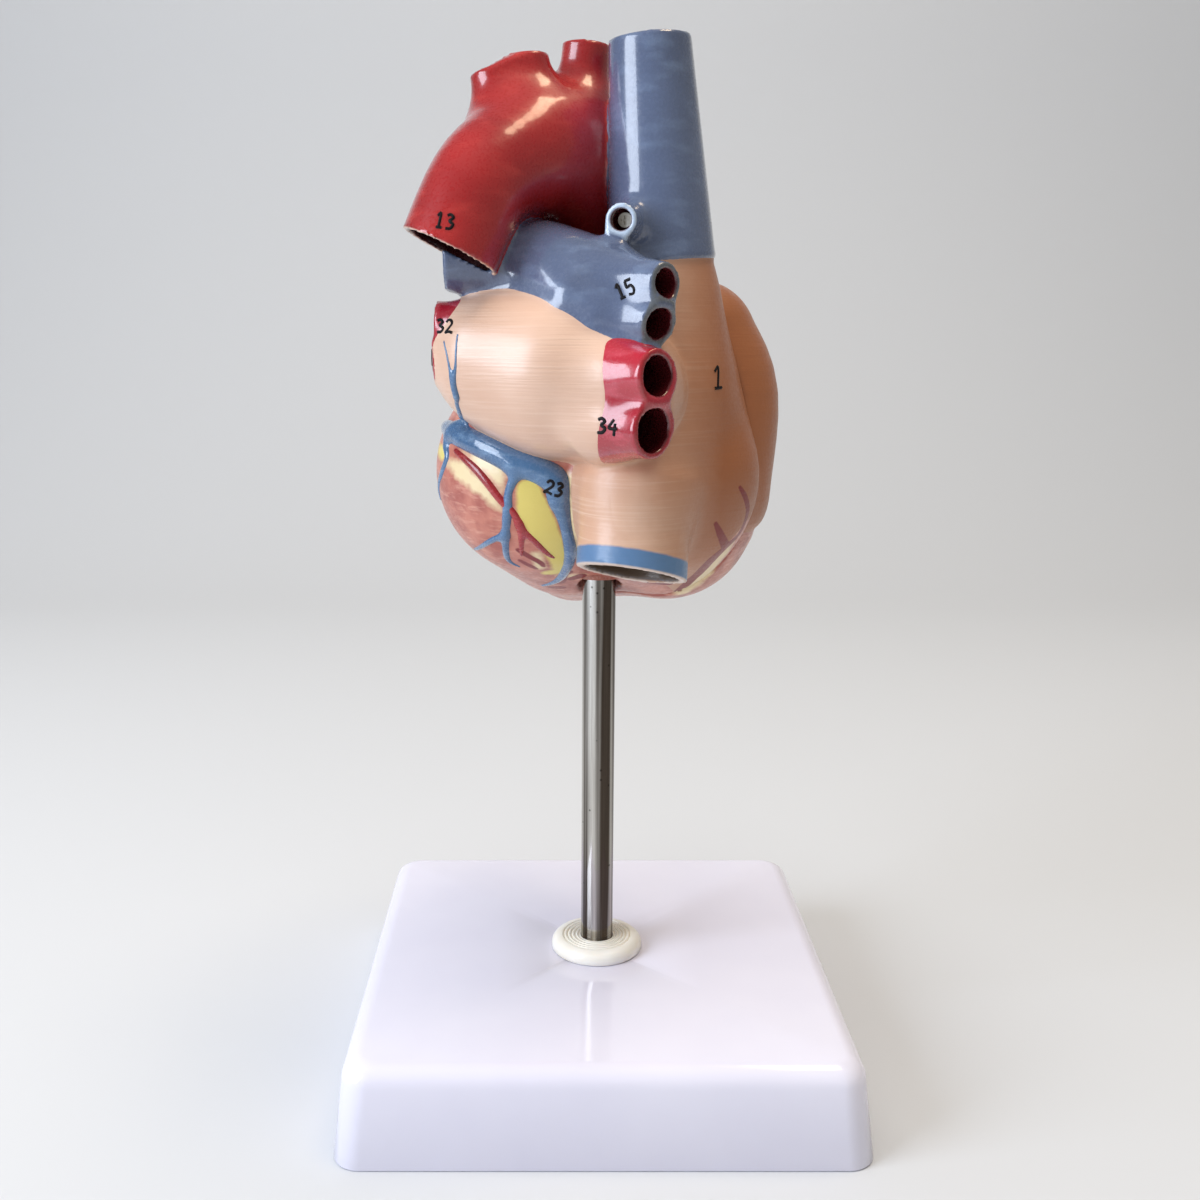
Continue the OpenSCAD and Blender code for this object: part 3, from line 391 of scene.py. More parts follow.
ivc_head, ivc_mouth, ivc_radius, ivc_mouth_way = (19.3, -21.4, 30), (20.4, -26.7, 6.8), 14.4, (-0.02, -0.32, -0.94)
right_vein_ends, right_vein_run = ((32.6, -42.2, 58.1), (31.9, -42.5, 45.2)), (17, -6.6, 0)
right_vein_radii, right_vein_bores = (6.4, 6.85), (4.7, 5.2)
left_vein_ends, left_vein_run = ((-29, -38.5, 70), (-29, -38.5, 60.5)), (-15, -5, 0)
left_vein_radius, left_vein_bore = 5.7, 4.2


turn_in = math.radians(-heart_turn)
to_row = np.array([[math.cos(turn_in), -math.sin(turn_in), 0], [math.sin(turn_in), math.cos(turn_in), 0],
                   [0, 0, 1]])


def tapered(place, a, b):
    """Distance from places to the hull of two swellings, each (x, y, z, radius)."""
    a, b = np.asarray(a, np.float32), np.asarray(b, np.float32)
    run, taper = b[:3] - a[:3], float(a[3] - b[3])
    length2 = float(run @ run)
    slope2 = length2 - taper * taper
    if slope2 <= 1e-6:
        return np.minimum(np.linalg.norm(place - a[:3], axis=-1) - a[3],
                          np.linalg.norm(place - b[:3], axis=-1) - b[3])
    off = place - a[:3]
    y = off @ run
    z = y - length2
    across2 = ((off * length2 - y[..., None] * run) ** 2).sum(-1)
    past = np.sign(z) * slope2 * z * z * length2 > np.sign(taper) * taper * taper * across2
    before = np.sign(y) * slope2 * y * y * length2 < np.sign(taper) * taper * taper * across2
    gap = (np.sqrt(across2 * slope2 / length2) + y * taper) / length2 - a[3]
    gap = np.where(before, np.sqrt(across2 + y * y * length2) / length2 - a[3], gap)
    return np.where(past, np.sqrt(across2 + z * z * length2) / length2 - b[3], gap)


def drawn(beads, parts=5):
    """The same string on a smooth curve, with more swellings between."""
    k = np.array(beads, float)
    k = np.vstack([2 * k[0] - k[1], k, 2 * k[-1] - k[-2]])
    curve = []
    for p0, p1, p2, p3 in zip(k, k[1:], k[2:], k[3:]):
        for t in np.arange(parts) / parts:
            curve.append(0.5 * (2 * p1 + (p2 - p0) * t + (2 * p0 - 5 * p1 + 4 * p2 - p3) * t ** 2
                                + (3 * p1 - p0 - 3 * p2 + p3) * t ** 3))
    return curve + [k[-2]]


def near(a, b):
    """The part of the grid within reach of two swellings."""
    low = np.minimum(np.array(a[:3]) - a[3], np.array(b[:3]) - b[3]) - reach
    high = np.maximum(np.array(a[:3]) + a[3], np.array(b[:3]) + b[3]) + reach
    start = np.clip(((low - grid_low) / step).astype(int), 0, None)
    end = np.clip(((high - grid_low) / step).astype(int) + 2, 0, [len(axis) for axis in axes])
    return tuple(slice(s, max(s, e)) for s, e in zip(start, end))


def string(beads):
    field = np.full(spots.shape[:3], reach, np.float32)
    for a, b in zip(beads, beads[1:]):
        room = near(a, b)
        field[room] = np.minimum(field[room], tapered(spots[room], a, b))
    return field


def pipe(start, end, start_radius, end_radius):
    """A straight flat-ended tube, as a field."""
    start, end = np.array(start, np.float32), np.array(end, np.float32)
    field = np.full(spots.shape[:3], reach, np.float32)
    room = near([*start, start_radius], [*end, end_radius])
    length = float(np.linalg.norm(end - start))
    way = (end - start) / length
    off = spots[room] - start
    along = off @ way
    radial = np.linalg.norm(off - along[..., None] * way, axis=-1)
    side = radial - (start_radius + (end_radius - start_radius) * np.clip(along / length, 0, 1))
    flat = np.maximum(-along, along - length)
    outside = np.sqrt(np.maximum(side, 0) ** 2 + np.maximum(flat, 0) ** 2)
    field[room] = np.minimum(np.where(np.maximum(side, flat) < 0, np.maximum(side, flat), outside), reach)
    return field


def melt(*fields, soft=4.0):
    """Joins fields with a fillet, as filler or a thick coat of paint leaves one."""
    joined = fields[0]
    for field in fields[1:]:
        blend = np.maximum(soft - np.abs(joined - field), 0) / soft
        joined = np.minimum(joined, field) - blend * blend * soft / 4
    return joined


def plane(point, way):
    """Distance past a plane along its way."""
    way = np.array(way, np.float32) / np.linalg.norm(way)
    return (spots - np.array(point, np.float32)) @ way


def unit(way):
    return np.array(way) / np.linalg.norm(way)


def cut(field, *tools):
    for tool in tools:
        field = np.maximum(field, -tool)
    return field


def sampled(field, cells):
    """The field between grid points, by three-way interpolation."""
    base_cell = np.clip(np.floor(cells).astype(int), 0, np.array(field.shape[:3]) - 2)
    t = cells - base_cell
    value = 0
    for i in (0, 1):
        for j in (0, 1):
            for k in (0, 1):
                weight = ((t[:, 0] if i else 1 - t[:, 0]) * (t[:, 1] if j else 1 - t[:, 1])
                          * (t[:, 2] if k else 1 - t[:, 2]))
                corner = field[base_cell[:, 0] + i, base_cell[:, 1] + j, base_cell[:, 2] + k]
                value = value + weight.reshape(-1, *[1] * (corner.ndim - 1)) * corner
    return value


def read_at(field, local):
    """A grid field at points in the heart's own frame."""
    return sampled(field, (local - grid_low) / step)


def skin_points(field, pitch, origin, rounds=3):
    """Points and quads of the surface where a field is zero, evened out and put back on it."""
    inner = np.argwhere(field < 0)
    low, high = np.maximum(inner.min(0) - 2, 0), inner.max(0) + 3
    field = field[tuple(slice(a, b) for a, b in zip(low, high))].astype(np.float32)
    cells = [n - 1 for n in field.shape]
    total, hits = np.zeros(cells + [3], np.float32), np.zeros(cells, np.float32)
    quads = []
    for axis in range(3):
        b, c = (axis + 1) % 3, (axis + 2) % 3
        for u in (0, 1):
            for v in (0, 1):
                start = [0, 0, 0]
                start[b], start[c] = u, v
                end = list(start)
                end[axis] = 1
                f0 = field[tuple(slice(start[k], start[k] + cells[k]) for k in range(3))]
                f1 = field[tuple(slice(end[k], end[k] + cells[k]) for k in range(3))]
                cross = (f0 < 0) != (f1 < 0)
                total[..., axis] += np.where(cross, f0 / np.where(cross, f0 - f1, 1), 0)
                total[..., b] += cross * u
                total[..., c] += cross * v
                hits += cross
        start = [1, 1, 1]
        start[axis] = 0
        f0 = field[tuple(slice(start[k], cells[k]) for k in range(3))]
        shifted = list(start)
        shifted[axis] = 1
        f1 = field[tuple(slice(shifted[k], cells[k] + (1 if k == axis else 0)) for k in range(3))]
        for rising in (True, False):
            found = np.argwhere(((f0 < 0) & (f1 >= 0)) if rising else ((f0 >= 0) & (f1 < 0))) + start
            ring = []
            for u, v in ((1, 1), (0, 1), (0, 0), (1, 0)):
                cell = found.copy()
                cell[:, b] -= u
                cell[:, c] -= v
                ring.append(cell)
            quads.append(np.stack(ring if rising else ring[::-1], 1))
    number = np.full(cells, -1, int)
    used = np.argwhere(hits > 0)
    number[tuple(used.T)] = np.arange(len(used))
    points = used + total[tuple(used.T)] / hits[tuple(used.T)][:, None]
    quads = np.concatenate(quads)
    faces = number[quads[..., 0], quads[..., 1], quads[..., 2]]
    slope = np.stack(np.gradient(field), -1)
    one = np.concatenate([faces[:, k] for k in range(4)] + [faces[:, (k + 1) % 4] for k in range(4)])
    two = np.concatenate([faces[:, (k + 1) % 4] for k in range(4)] + [faces[:, k] for k in range(4)])
    valence = np.bincount(one, minlength=len(points))[:, None]
    share, flattest, furthest = 0.6, 0.05, 0.5
    for _ in range(rounds):
        mean = np.stack([np.bincount(one, points[two, k], len(points)) for k in range(3)], 1) / valence
        points = points + share * (mean - points)
        for _ in range(2):
            value, way = sampled(field, points), sampled(slope, points)
            move = value[:, None] * way / np.maximum((way ** 2).sum(1), flattest * pitch ** 2)[:, None]
            points = points - np.clip(move, -furthest, furthest)
    return (points + low) * pitch + origin, faces


def heart_piece(name, local, faces, material, body, nodes):
    """A piece from points in the heart's own frame, in its place on the stand."""
    piece = mesh_piece(name, local @ to_row.T + [0, 0, heart_height], faces, material)
    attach(piece, body)
    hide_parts(*nodes)
    return piece


def mark(piece, name, values):
    """Distances in mm, kept on the points for a painted edge to follow; one number does for a whole piece."""
    layer = piece.data.attributes.new(name, "FLOAT", "POINT")
    layer.data.foreach_set("value", np.full(len(layer.data), values, np.float32))


bare = 9.0  # far from a painted edge: the layer leaves the piece as it is


def to_string(local, strings):
    """Distance from a piece's points to the nearest of some strings."""
    local = np.asarray(local, np.float32)
    gap = np.full(len(local), 50.0, np.float32)
    for beads in strings:
        for a, b in zip(beads, beads[1:]):
            gap = np.minimum(gap, tapered(local, a, b))
    return gap


def hand_paint(name, ground, shade, light, brush, ridge=0.12, gloss=(0.2, 0.34), coat=0.5, varnish=0.16,
               marks=(), mottle=0.03):
    """Enamel laid on PVC by brush under a clear varnish.
    brush is the strokes' width along each axis of the heart in mm; marks are (distance layer, colour,
    soft edge in mm, waver in mm) painted over the ground where the distance is below zero."""
    paint, own = new_material(name, -turn_in)
    strokes = add(paint, "Mapping", {"Scale": tuple(1 / width for width in brush)}, {"Vector": own})
    stroke = add(paint, "TexNoise", {"Scale": 1.0, "Detail": 3.0, "Roughness": 0.55}, {"Vector": strokes})
    cloud = add(paint, "TexNoise", {"Scale": mottle, "Detail": 3.0}, {"Vector": own})
    grain = add(paint, "TexNoise", {"Scale": 1.2, "Detail": 2.0}, {"Vector": own})
    patchy = add(paint, "MapRange", {"From Min": 0.38, "From Max": 0.62}, {"Value": cloud})
    colour = add(paint, "Mix", {"data_type": "RGBA", 6: linear(ground), 7: linear(shade)}, {0: patchy})
    bright = add(paint, "MapRange", {"From Min": 0.52, "From Max": 0.8, "To Max": 0.75}, {"Value": stroke})
    colour = add(paint, "Mix", {"data_type": "RGBA", 7: linear(light)}, {0: bright, 6: colour.outputs[2]})
    waver = add(paint, "TexNoise", {"Scale": 0.35, "Detail": 3.0}, {"Vector": own})
    for layer, mark_hex, edge, wander in marks:
        distance = add(paint, "Attribute", {"attribute_name": layer})
        wandering = add(paint, "Math", {"operation": "MULTIPLY_ADD", 1: 2 * wander},
                        {0: waver, 2: distance.outputs["Fac"]})
        covered = add(paint, "MapRange",
                      {"From Min": wander - edge, "From Max": wander + edge, "To Min": 1.0, "To Max": 0.0},
                      {"Value": wandering})
        colour = add(paint, "Mix", {"data_type": "RGBA", 7: linear(mark_hex)}, {0: covered, 6: colour.outputs[2]})
    dull = add(paint, "MapRange", {"From Min": 0.35, "From Max": 0.65, "To Min": gloss[0], "To Max": gloss[1]},
               {"Value": grain})
    relief = add(paint, "Bump", {"Strength": 0.6, "Distance": ridge * MM}, {"Height": stroke})
    relief = add(paint, "Bump", {"Strength": 0.25, "Distance": 0.12 * MM}, {"Height": grain, "Normal": relief})
    enamel = add(paint, "BsdfPrincipled",
                 {"IOR": 1.5, "Coat Weight": coat, "Coat Roughness": varnish, "Coat IOR": 1.48},
                 {"Base Color": colour.outputs[2], "Roughness": dull, "Normal": relief})
    add(paint, "OutputMaterial", None, {"Surface": enamel})
    return paint


chambers = melt(*[string(drawn(beads, 3)) for beads in chamber_strings], soft=3.0)
ventricles = melt(string(left_ventricle), string(right_ventricle), soft=8.0)
ventricles = melt(ventricles, string(magnet_swelling), soft=5.0)
left_atrium = melt(string(left_atrium_body), string(left_atrium_side), soft=8.0)
right_atrium = melt(string(atrium_back), string(atrium_column), soft=7.0)
left_auricle = string(drawn(left_auricle_fold))
aorta = melt(string(drawn(aorta_path)), string(arch_crest), soft=9.0)
first, second = [np.array([*foot, *top, wide, slim]) for foot, top, wide, slim, _ in arch_branches[:2]]
between = [first + (second - first) * i / 6 for i in range(7)]
paired = np.minimum.reduce([pipe(b[:3], b[3:6], b[6], b[7]) for b in between])
aorta = melt(aorta, paired, pipe(*arch_branches[2][:4]), soft=6.0)
end_ring = np.linalg.norm(np.cross(spots - np.array(aorta_end, np.float32), np.array(aorta_end_way, np.float32)),
                          axis=-1) - 20
aorta = cut(aorta, np.maximum(-plane(aorta_end, aorta_end_way), end_ring))
pulmonary = melt(string(drawn(trunk_path)), string(drawn(trunk_left)), soft=6.0)
pulmonary = melt(pulmonary, *[pipe(root, end, wide, slim) for root, end, wide, slim, _ in trunk_branches], soft=4.0)
pulmonary = melt(pulmonary, string(trunk_skirt), soft=5.0)
row_x = spots @ to_row[0].astype(np.float32)
pulmonary = np.maximum(pulmonary, -trunk_left_cut - row_x)
upper_cava = melt(pipe(cava_foot, cava_top, cava_foot_radius, cava_top_radius),
                  pipe(azygos_root, azygos_end, azygos_radius, azygos_radius), soft=5.0)
ivc_beyond = np.array(ivc_mouth) + 0.5 * (np.array(ivc_mouth) - np.array(ivc_head))
lower_cava = np.maximum(pipe(ivc_head, ivc_beyond, ivc_radius, ivc_radius), plane(ivc_mouth, ivc_mouth_way))
right_veins = melt(*[pipe(np.subtract(end, right_vein_run), end, radius, radius)
                     for end, radius in zip(right_vein_ends, right_vein_radii)], soft=4.0)
left_veins = melt(*[pipe(np.subtract(end, left_vein_run), end, left_vein_radius, left_vein_radius)
                    for end in left_vein_ends], soft=2.5)
# where the paints meet: the red of the right stumps starts at an upright line round their root, the beige of the
# right atrium runs down beside the lower cava to a slanted line, and the arch's cut end stands free of the trunk
red_root, red_line = [[23.5, -40, 59.5, 6.4], [23.5, -40.5, 43.5, 5.6]], 1.1
right_veins_paint = np.maximum(np.minimum(right_veins, string(red_root)), red_line - row_x)
beige_foot, beige_foot_way, beige_left, beige_top = (23.7, 7.5, -2.7), (0.78, 0.14, -0.61), 20.0, 30.0
beige_below = np.maximum.reduce([plane(beige_foot, beige_foot_way), beige_left - spots[..., 0],
                                 spots[..., 2] - beige_top, -lower_cava])
outer_forms = {"ventricles": np.maximum(ventricles, -beige_below), "left_atrium": left_atrium,
               "right_atrium": np.minimum(right_atrium, beige_below), "pulmonary": np.maximum(pulmonary, -aorta),
               "upper_cava": upper_cava, "lower_cava": lower_cava, "right_veins": right_veins_paint,
               "left_veins": left_veins, "aorta": aorta, "left_auricle": left_auricle}
body_skin = melt(ventricles, right_atrium, lower_cava, soft=5.0)
body_skin = melt(body_skin, melt(left_atrium, right_veins, soft=8.0), soft=1.6)
body_skin = melt(body_skin, melt(pulmonary, upper_cava, soft=5.0), left_veins, soft=2.0)
body_skin = melt(body_skin, aorta, left_auricle, soft=1.5)


def tucked(field, border):
    """A field that ends a little past a border, sloping in under the neighbour's edge."""
    tuck_slope, tuck_width, overlap = 0.3, 2, 1.5
    return np.maximum(field + tuck_slope * np.clip(border, 0, tuck_width), border - overlap)


def own_part(form):
    """The heart's skin where one form is the nearest, running just under its neighbours' edges."""
    others = np.full(spots.shape[:3], reach, np.float32)
    for other, field in outer_forms.items():
        if other != form:
            others = np.minimum(others, field)
    return tucked(body_skin, (outer_forms[form] - others) / 2)


ivc_bore = pipe(ivc_head, ivc_beyond + 0.2 * (ivc_beyond - np.array(ivc_head)), ivc_radius - cava_wall,
                ivc_radius - cava_wall)
rod_seat_radius, rod_seat_top = 6.1, 30.2
rod_seat = np.maximum(np.hypot(spots[..., 0], spots[..., 1]) - rod_seat_radius, spots[..., 2] - rod_seat_top)
back_side = spots[..., 1] - seam_back


def trimmed(field, side, soft=0.9):
    """A field cut off at a plane, with the sharp edge rubbed down."""
    return -melt(-field, -side, soft=soft)


def pulled_to_skin(beads, sunk, field):
    """A string's swellings moved to lie on a surface, sunk into it by a share of their radius."""
    beads = np.array(drawn(beads, 4))
    slope = np.stack([read_at(g, beads[:, :3]) for g in np.gradient(field, step)], 1)
    for _ in range(4):
        value = read_at(field, beads[:, :3]) + sunk * beads[:, 3]
        beads[:, :3] -= value[:, None] * slope / np.maximum((slope ** 2).sum(1), 0.3)[:, None]
    return beads.tolist()


points, faces = skin_points(cut(trimmed(own_part("ventricles"), back_side), chambers, rod_seat, ivc_bore), step,
                            grid_low)
fat_on_back = [[[-6, -33.3, 28, 3], [-5, -31.6, 22, 4.4], [-3.6, -29, 17, 4], [-2.6, -25.5, 12.6, 3],
                [-3, -20, 8, 3], [-5.5, -15, 5, 2.6], [-8.6, -16.4, 3.2, 1.6]],
               [[-41, -15, 36, 2.2], [-35, -26, 35.5, 2]]]
# cream strips: pale fat in most places, and a painted highlight in the strip along the underside of the back artery
cream_fat_and_painted_highlight = [[[-27, -29, 37.5, 1.4], [-20, -33, 35.5, 2.2], [-14.5, -34, 32.5, 2.6], [-13.2, -33.4, 28.5, 1.4]],
                 [[-31.8, -28.2, 33.6, 1.6], [-25.6, -32.7, 31.6, 2.4], [-19.4, -34.3, 28.2, 2],
                  [-14.4, -33.7, 23.5, 1.2]], [[-7.5, -26, 9.5, 1.4], [-8.5, -21, 5, 1.6]],
                 [[4.2, -28.5, 30, 2.4], [4.6, -27.5, 23, 2.4], [4, -24, 16, 2.2], [2, -18, 9.5, 1.6]],
                 [[38, 3, 16, 1.6], [34, 3, 8.5, 3], [29, 6, 2, 3], [22, 9, -4, 2.4]],
                 [[-6.5, -12.5, 2.8, 1], [-3, -9.5, 0.8, 1.2], [2, -9, 0.5, 0.9]]]
# fine red lines painted where the right coronary artery comes round, and under the socket
red_lines = [[[41.3, -4.6, 28, 0.3], [41.5, -0.2, 24, 0.6], [40.7, 2.6, 20.4, 0.7], [38.8, 3.6, 14.8, 0.9],
              [36.5, 0.5, 11.5, 1.2], [33.2, -0.6, 8, 2], [29.5, 1.7, 3.7, 1.7], [25.7, 4.2, 0.1, 1.4],
              [21, 8, -4, 1]], [[36.4, -9.6, 19.3, 0.2], [36.6, -6.7, 16.5, 0.6], [36.5, -1.1, 12.2, 1]],
             [[-11.6, -27.6, 11, 0.5], [-9.9, -26, 9.4, 0.6], [-7.7, -22.6, 7.1, 0.5], [-7.7, -20.6, 5.7, 0.2]],
             [[-12.8, -24.5, 7.6, 0.3], [-11, -22.5, 5.4, 0.5], [-10, -20.5, 4.2, 0.2]],
             [[-8.2, -9, -1.2, 1.3], [-5.7, -12.2, 2.6, 1.1], [-3.8, -12.6, 3.6, 0.8]],
             [[-4.4, -8.8, 0, 1], [-1.5, -9, 0.6, 1.2]], [[-13, -5, -4.2, 0.7], [-9.6, -4.5, -3.8, 0.9]],
             [[6, -8.5, 0.5, 1], [14, -7, -2, 1.2], [22, -1, -4, 0.9]]]
red_lines = [pulled_to_skin(beads, 0, body_skin) for beads in red_lines]
lining = read_at(chambers, points)
muscle = hand_paint("pvc_painted_heart_muscle", "#c27966", "#a4564a", "#dda58e", (5, 5, 1.2), ridge=0.12,
                    gloss=(0.3, 0.46), coat=0.3,
                    marks=(("cream", "#e6d0a4", 0.9, 1.3), ("fat", "#decb6c", 0.6, 0.7),
                           ("line", "#7f1716", 0.2, 0.25), ("lining", "#a94c45", 0.3, 0.0)), mottle=0.14)
back_muscle = heart_piece("back_muscle", points, faces, muscle, "heart", ["heart_back"])
mark(back_muscle, "fat", to_string(points, fat_on_back))
# the cream layer is partly a painted highlight under the back artery
mark(back_muscle, "cream", to_string(points, cream_fat_and_painted_highlight))
# lines finer than the mesh are painted a little wider, so that they still show
line_swell = 0.4
mark(back_muscle, "line", to_string(points, red_lines) - line_swell)
mark(back_muscle, "lining", lining - 0.4)

# ---------------------------------------------------------------------------
# Left atrium: part of the same casting. It is painted flesh beige with a flat
# brush that has left fine level ridges, under a satin varnish, and painted shade
# browns it towards the right.
# ---------------------------------------------------------------------------
right_bores = np.minimum.reduce([pipe(np.array(end) + 0.1 * np.array(right_vein_run),
                                      np.array(end) - np.array(right_vein_run), bore, bore)
                                 for end, bore in zip(right_vein_ends, right_vein_bores)])
left_bores = np.minimum.reduce([pipe(np.array(end) + 0.1 * np.array(left_vein_run),
                                     np.array(end) - np.array(left_vein_run), left_vein_bore, left_vein_bore)
                                for end in left_vein_ends])
points, faces = skin_points(cut(own_part("left_atrium"), chambers, right_bores, left_bores), step, grid_low)
# painted shade: the beige turns to tan towards the right, where the heart turns away from the light, over this many
# millimetres each way of a line, in from the picture's left
shade_fade, shade_line = 12.0, 19.0
flesh_level = hand_paint("pvc_painted_left_atrium", "#dcb79f", "#d5ac92", "#e2c0a9", (26, 26, 0.55), ridge=0.26,
                         gloss=(0.34, 0.46), coat=0.7, varnish=0.26,
                         marks=(("tan", "#a0623b", shade_fade, 1.5), ("bore", "#3d0f13", 0.3, 0.0)))
left_atrium_piece = heart_piece("left_atrium_wall", points, faces, flesh_level, "heart", ["left_atrium"])
inside = np.minimum(np.minimum(right_bores, left_bores), chambers)
# painted shade: tan to the right of the line
mark(left_atrium_piece, "tan", shade_line - points @ to_row[0])
# painted shade: near-black red inside the vein bores and the chamber
mark(left_atrium_piece, "bore", read_at(inside, points) - 0.5)

# ---------------------------------------------------------------------------
# Right atrium, back half: from the superior to the inferior vena cava, cast
# with the rest and painted in the same beige; painted shade makes it browner where it turns away from the light.
# ---------------------------------------------------------------------------
pin_places, magnet_places = ((-30, 12), (30, 14)), ((-38, 32), (37, 31), (-12, 7))
pin_seats = [pipe((x, seam_back - 6, z), (x, seam_back + 5.3, z), 2.0, 2.0) for x, z in pin_places]
magnet_seats = [pipe((x, seam_back - 2, z), (x, seam_front + 2, z), 2.55, 2.55) for x, z in magnet_places]
points, faces = skin_points(cut(trimmed(own_part("right_atrium"), back_side), chambers, ivc_bore, *pin_seats,
                                *magnet_seats), step, grid_low)
flesh_upright = hand_paint("pvc_painted_right_atrium", "#d9b298", "#cfa184", "#e2c1a8", (26, 26, 0.6), ridge=0.16,
                           gloss=(0.36, 0.5), coat=0.3, varnish=0.27,
                           marks=(("tan", "#a0623b", shade_fade, 1.5), ("seam", "#5c3623", 0.25, 0.05),
                                  ("line", "#7d1a14", 0.15, 0.2), ("bore", "#54402f", 0.3, 0.0)))
right_atrium_piece = heart_piece("right_atrium_wall", points, faces, flesh_upright, "heart", ["right_atrium"])
mark(right_atrium_piece, "line", to_string(points, red_lines) - line_swell)
# painted shade: dark brown inside the lower cava's bore
mark(right_atrium_piece, "bore", read_at(ivc_bore, points) - 0.3)
# painted shade: tan to the right of the line
mark(right_atrium_piece, "tan", shade_line - points @ to_row[0])
# painted shade: a dark brown line along the seam edge, where the gap between the halves falls in shade
mark(right_atrium_piece, "seam", seam_back - 0.15 - points[:, 1])

# ---------------------------------------------------------------------------
# Left auricle: the ear of the left atrium, folded forward beside the
# pulmonary trunk, cast in one with it and painted the same.
# ---------------------------------------------------------------------------
points, faces = skin_points(own_part("left_auricle"), step, grid_low)
auricle_piece = heart_piece("left_auricle_fold", points, faces, flesh_level, "heart", ["left_auricle"])
mark(auricle_piece, "tan", 5 * shade_fade)
mark(auricle_piece, "bore", bare)

# ---------------------------------------------------------------------------
# Aorta: cast hollow with its arch and three branches, its far end cut across.
# Deep red enamel, brushed smooth and varnished thick enough to catch lights.
# ---------------------------------------------------------------------------
aorta_wall = 2.6
aorta_bore = string(drawn([[x, y, z, r - aorta_wall] for x, y, z, r in aorta_path]))
# the far end is thinned from inside with a knife, down to its rim
rim_wall, thinned = 0.9, 14.0
end_way = unit(np.subtract(aorta_path[-1][:3], aorta_path[-2][:3]))
end_middle = np.array(aorta_path[-2][:3]) + end_way * ((np.array(aorta_end) - aorta_path[-2][:3]) @ end_way)
end_radius = 12.55
aorta_bore = np.minimum(aorta_bore,
                        pipe(end_middle + 6 * end_way, end_middle - thinned * end_way, end_radius - rim_wall + 0.2,
                             end_radius - aorta_wall))
branch_bores = [pipe(foot, np.array(top) + 0.2 * np.subtract(top, foot), bore, bore)
                for foot, top, _, _, bore in arch_branches]
foot_plane = 50.0 - spots[..., 2]
points, faces = skin_points(np.maximum(cut(own_part("aorta"), aorta_bore, *branch_bores), foot_plane), step,
                            grid_low)
artery_red = hand_paint("pvc_painted_aorta", "#a92222", "#93171a", "#ba3833", (9, 9, 3.5), ridge=0.05,
                        gloss=(0.24, 0.36), coat=0.9, varnish=0.1,
                        marks=(("rim", "#d9b8a4", 0.2, 0.15), ("bore", "#2e0b0d", 0.25, 0.0)))
aorta_piece = heart_piece("aorta", points, faces, artery_red, "heart", ["aorta_arch"])
mark(aorta_piece, "rim", np.abs((points - np.array(aorta_end)) @ unit(aorta_end_way)) - 0.35
     + 9 * (np.linalg.norm(points - np.array(aorta_end), axis=1) > 16))
# painted shade: near-black red inside the bores
mark(aorta_piece, "bore", read_at(np.minimum(aorta_bore, np.minimum.reduce(branch_bores)), points) - 0.35)

# ---------------------------------------------------------------------------
# Pulmonary trunk: cast with the heart, open at its left end and at the two
# right branches. Slate-blue enamel, varnished; the bores are painted dark red as shade.
# ---------------------------------------------------------------------------
trunk_wall = 2.2
trunk_bore = np.minimum(string(drawn([[x, y, z, r - trunk_wall] for x, y, z, r in trunk_path])),
                        string([[x, y, z, r - trunk_wall] for x, y, z, r in trunk_left]))
right_branch_bores = np.minimum.reduce([pipe(root, np.array(end) + 0.2 * np.subtract(end, root), bore, bore)
                                        for root, end, _, _, bore in trunk_branches])
inside_arch = np.maximum(aorta_bore, plane(aorta_end, aorta_end_way))
points, faces = skin_points(np.maximum(cut(own_part("pulmonary"), trunk_bore, right_branch_bores, inside_arch),
                                       foot_plane), step, grid_low)
# the rim layer of this paint is a painted highlight on the azygos stump
vessel_blue = hand_paint("pvc_painted_vessel_blue", "#5d6a87", "#505c77", "#7485a2", (10, 10, 4), ridge=0.05,
                         gloss=(0.2, 0.32), coat=1.0, varnish=0.09,
                         marks=(("face", "#5b6066", 0.2, 0.1), ("rim", "#b7c8dc", 0.25, 0.1),
                                ("bore", "#571a1f", 0.25, 0.0)))
pulmonary_piece = heart_piece("pulmonary_artery", points, faces, vessel_blue, "heart", ["pulmonary_trunk"])
cut_face = [np.abs((points - np.array(end)) @ unit(np.subtract(end, root))) - 0.45
            + 9 * (np.linalg.norm(points - np.array(end), axis=1) > wide)
            for root, end, wide, _, _ in trunk_branches]
mark(pulmonary_piece, "face", np.min(cut_face, axis=0))
mark(pulmonary_piece, "rim", bare)
# painted shade: dark red inside the bores
mark(pulmonary_piece, "bore", read_at(np.minimum(trunk_bore, right_branch_bores), points) - 0.35)

# ---------------------------------------------------------------------------
# Superior vena cava: a tapered tube, open at the top, with the azygos stump
# on its back. Same blue; the stump's rim is painted pale blue-white as a highlight.
# ---------------------------------------------------------------------------
cava_axis = np.subtract(cava_top, cava_foot)
cava_bore = pipe(np.array(cava_foot) - 0.1 * cava_axis, np.array(cava_top) + 0.1 * cava_axis,
                 cava_foot_radius - cava_wall + 0.36, cava_top_radius - cava_wall - 0.36)
azygos_way = unit(np.subtract(azygos_root, azygos_end))
stump_bore = pipe(np.array(azygos_end) - azygos_way, np.array(azygos_end) + 6 * azygos_way, azygos_bore,
                  azygos_bore)
points, faces = skin_points(cut(own_part("upper_cava"), cava_bore, stump_bore), step, grid_low)
cava_piece = heart_piece("superior_vena_cava_tube", points, faces, vessel_blue, "heart", ["superior_vena_cava"])
mark(cava_piece, "face", bare)
# painted highlight: a pale blue-white ring on the azygos stump's rim
mark(cava_piece, "rim",
     np.abs((points - np.array(azygos_end)) @ azygos_way) - 0.6
     + 9 * (np.linalg.norm(points - np.array(azygos_end), axis=1) > 6))
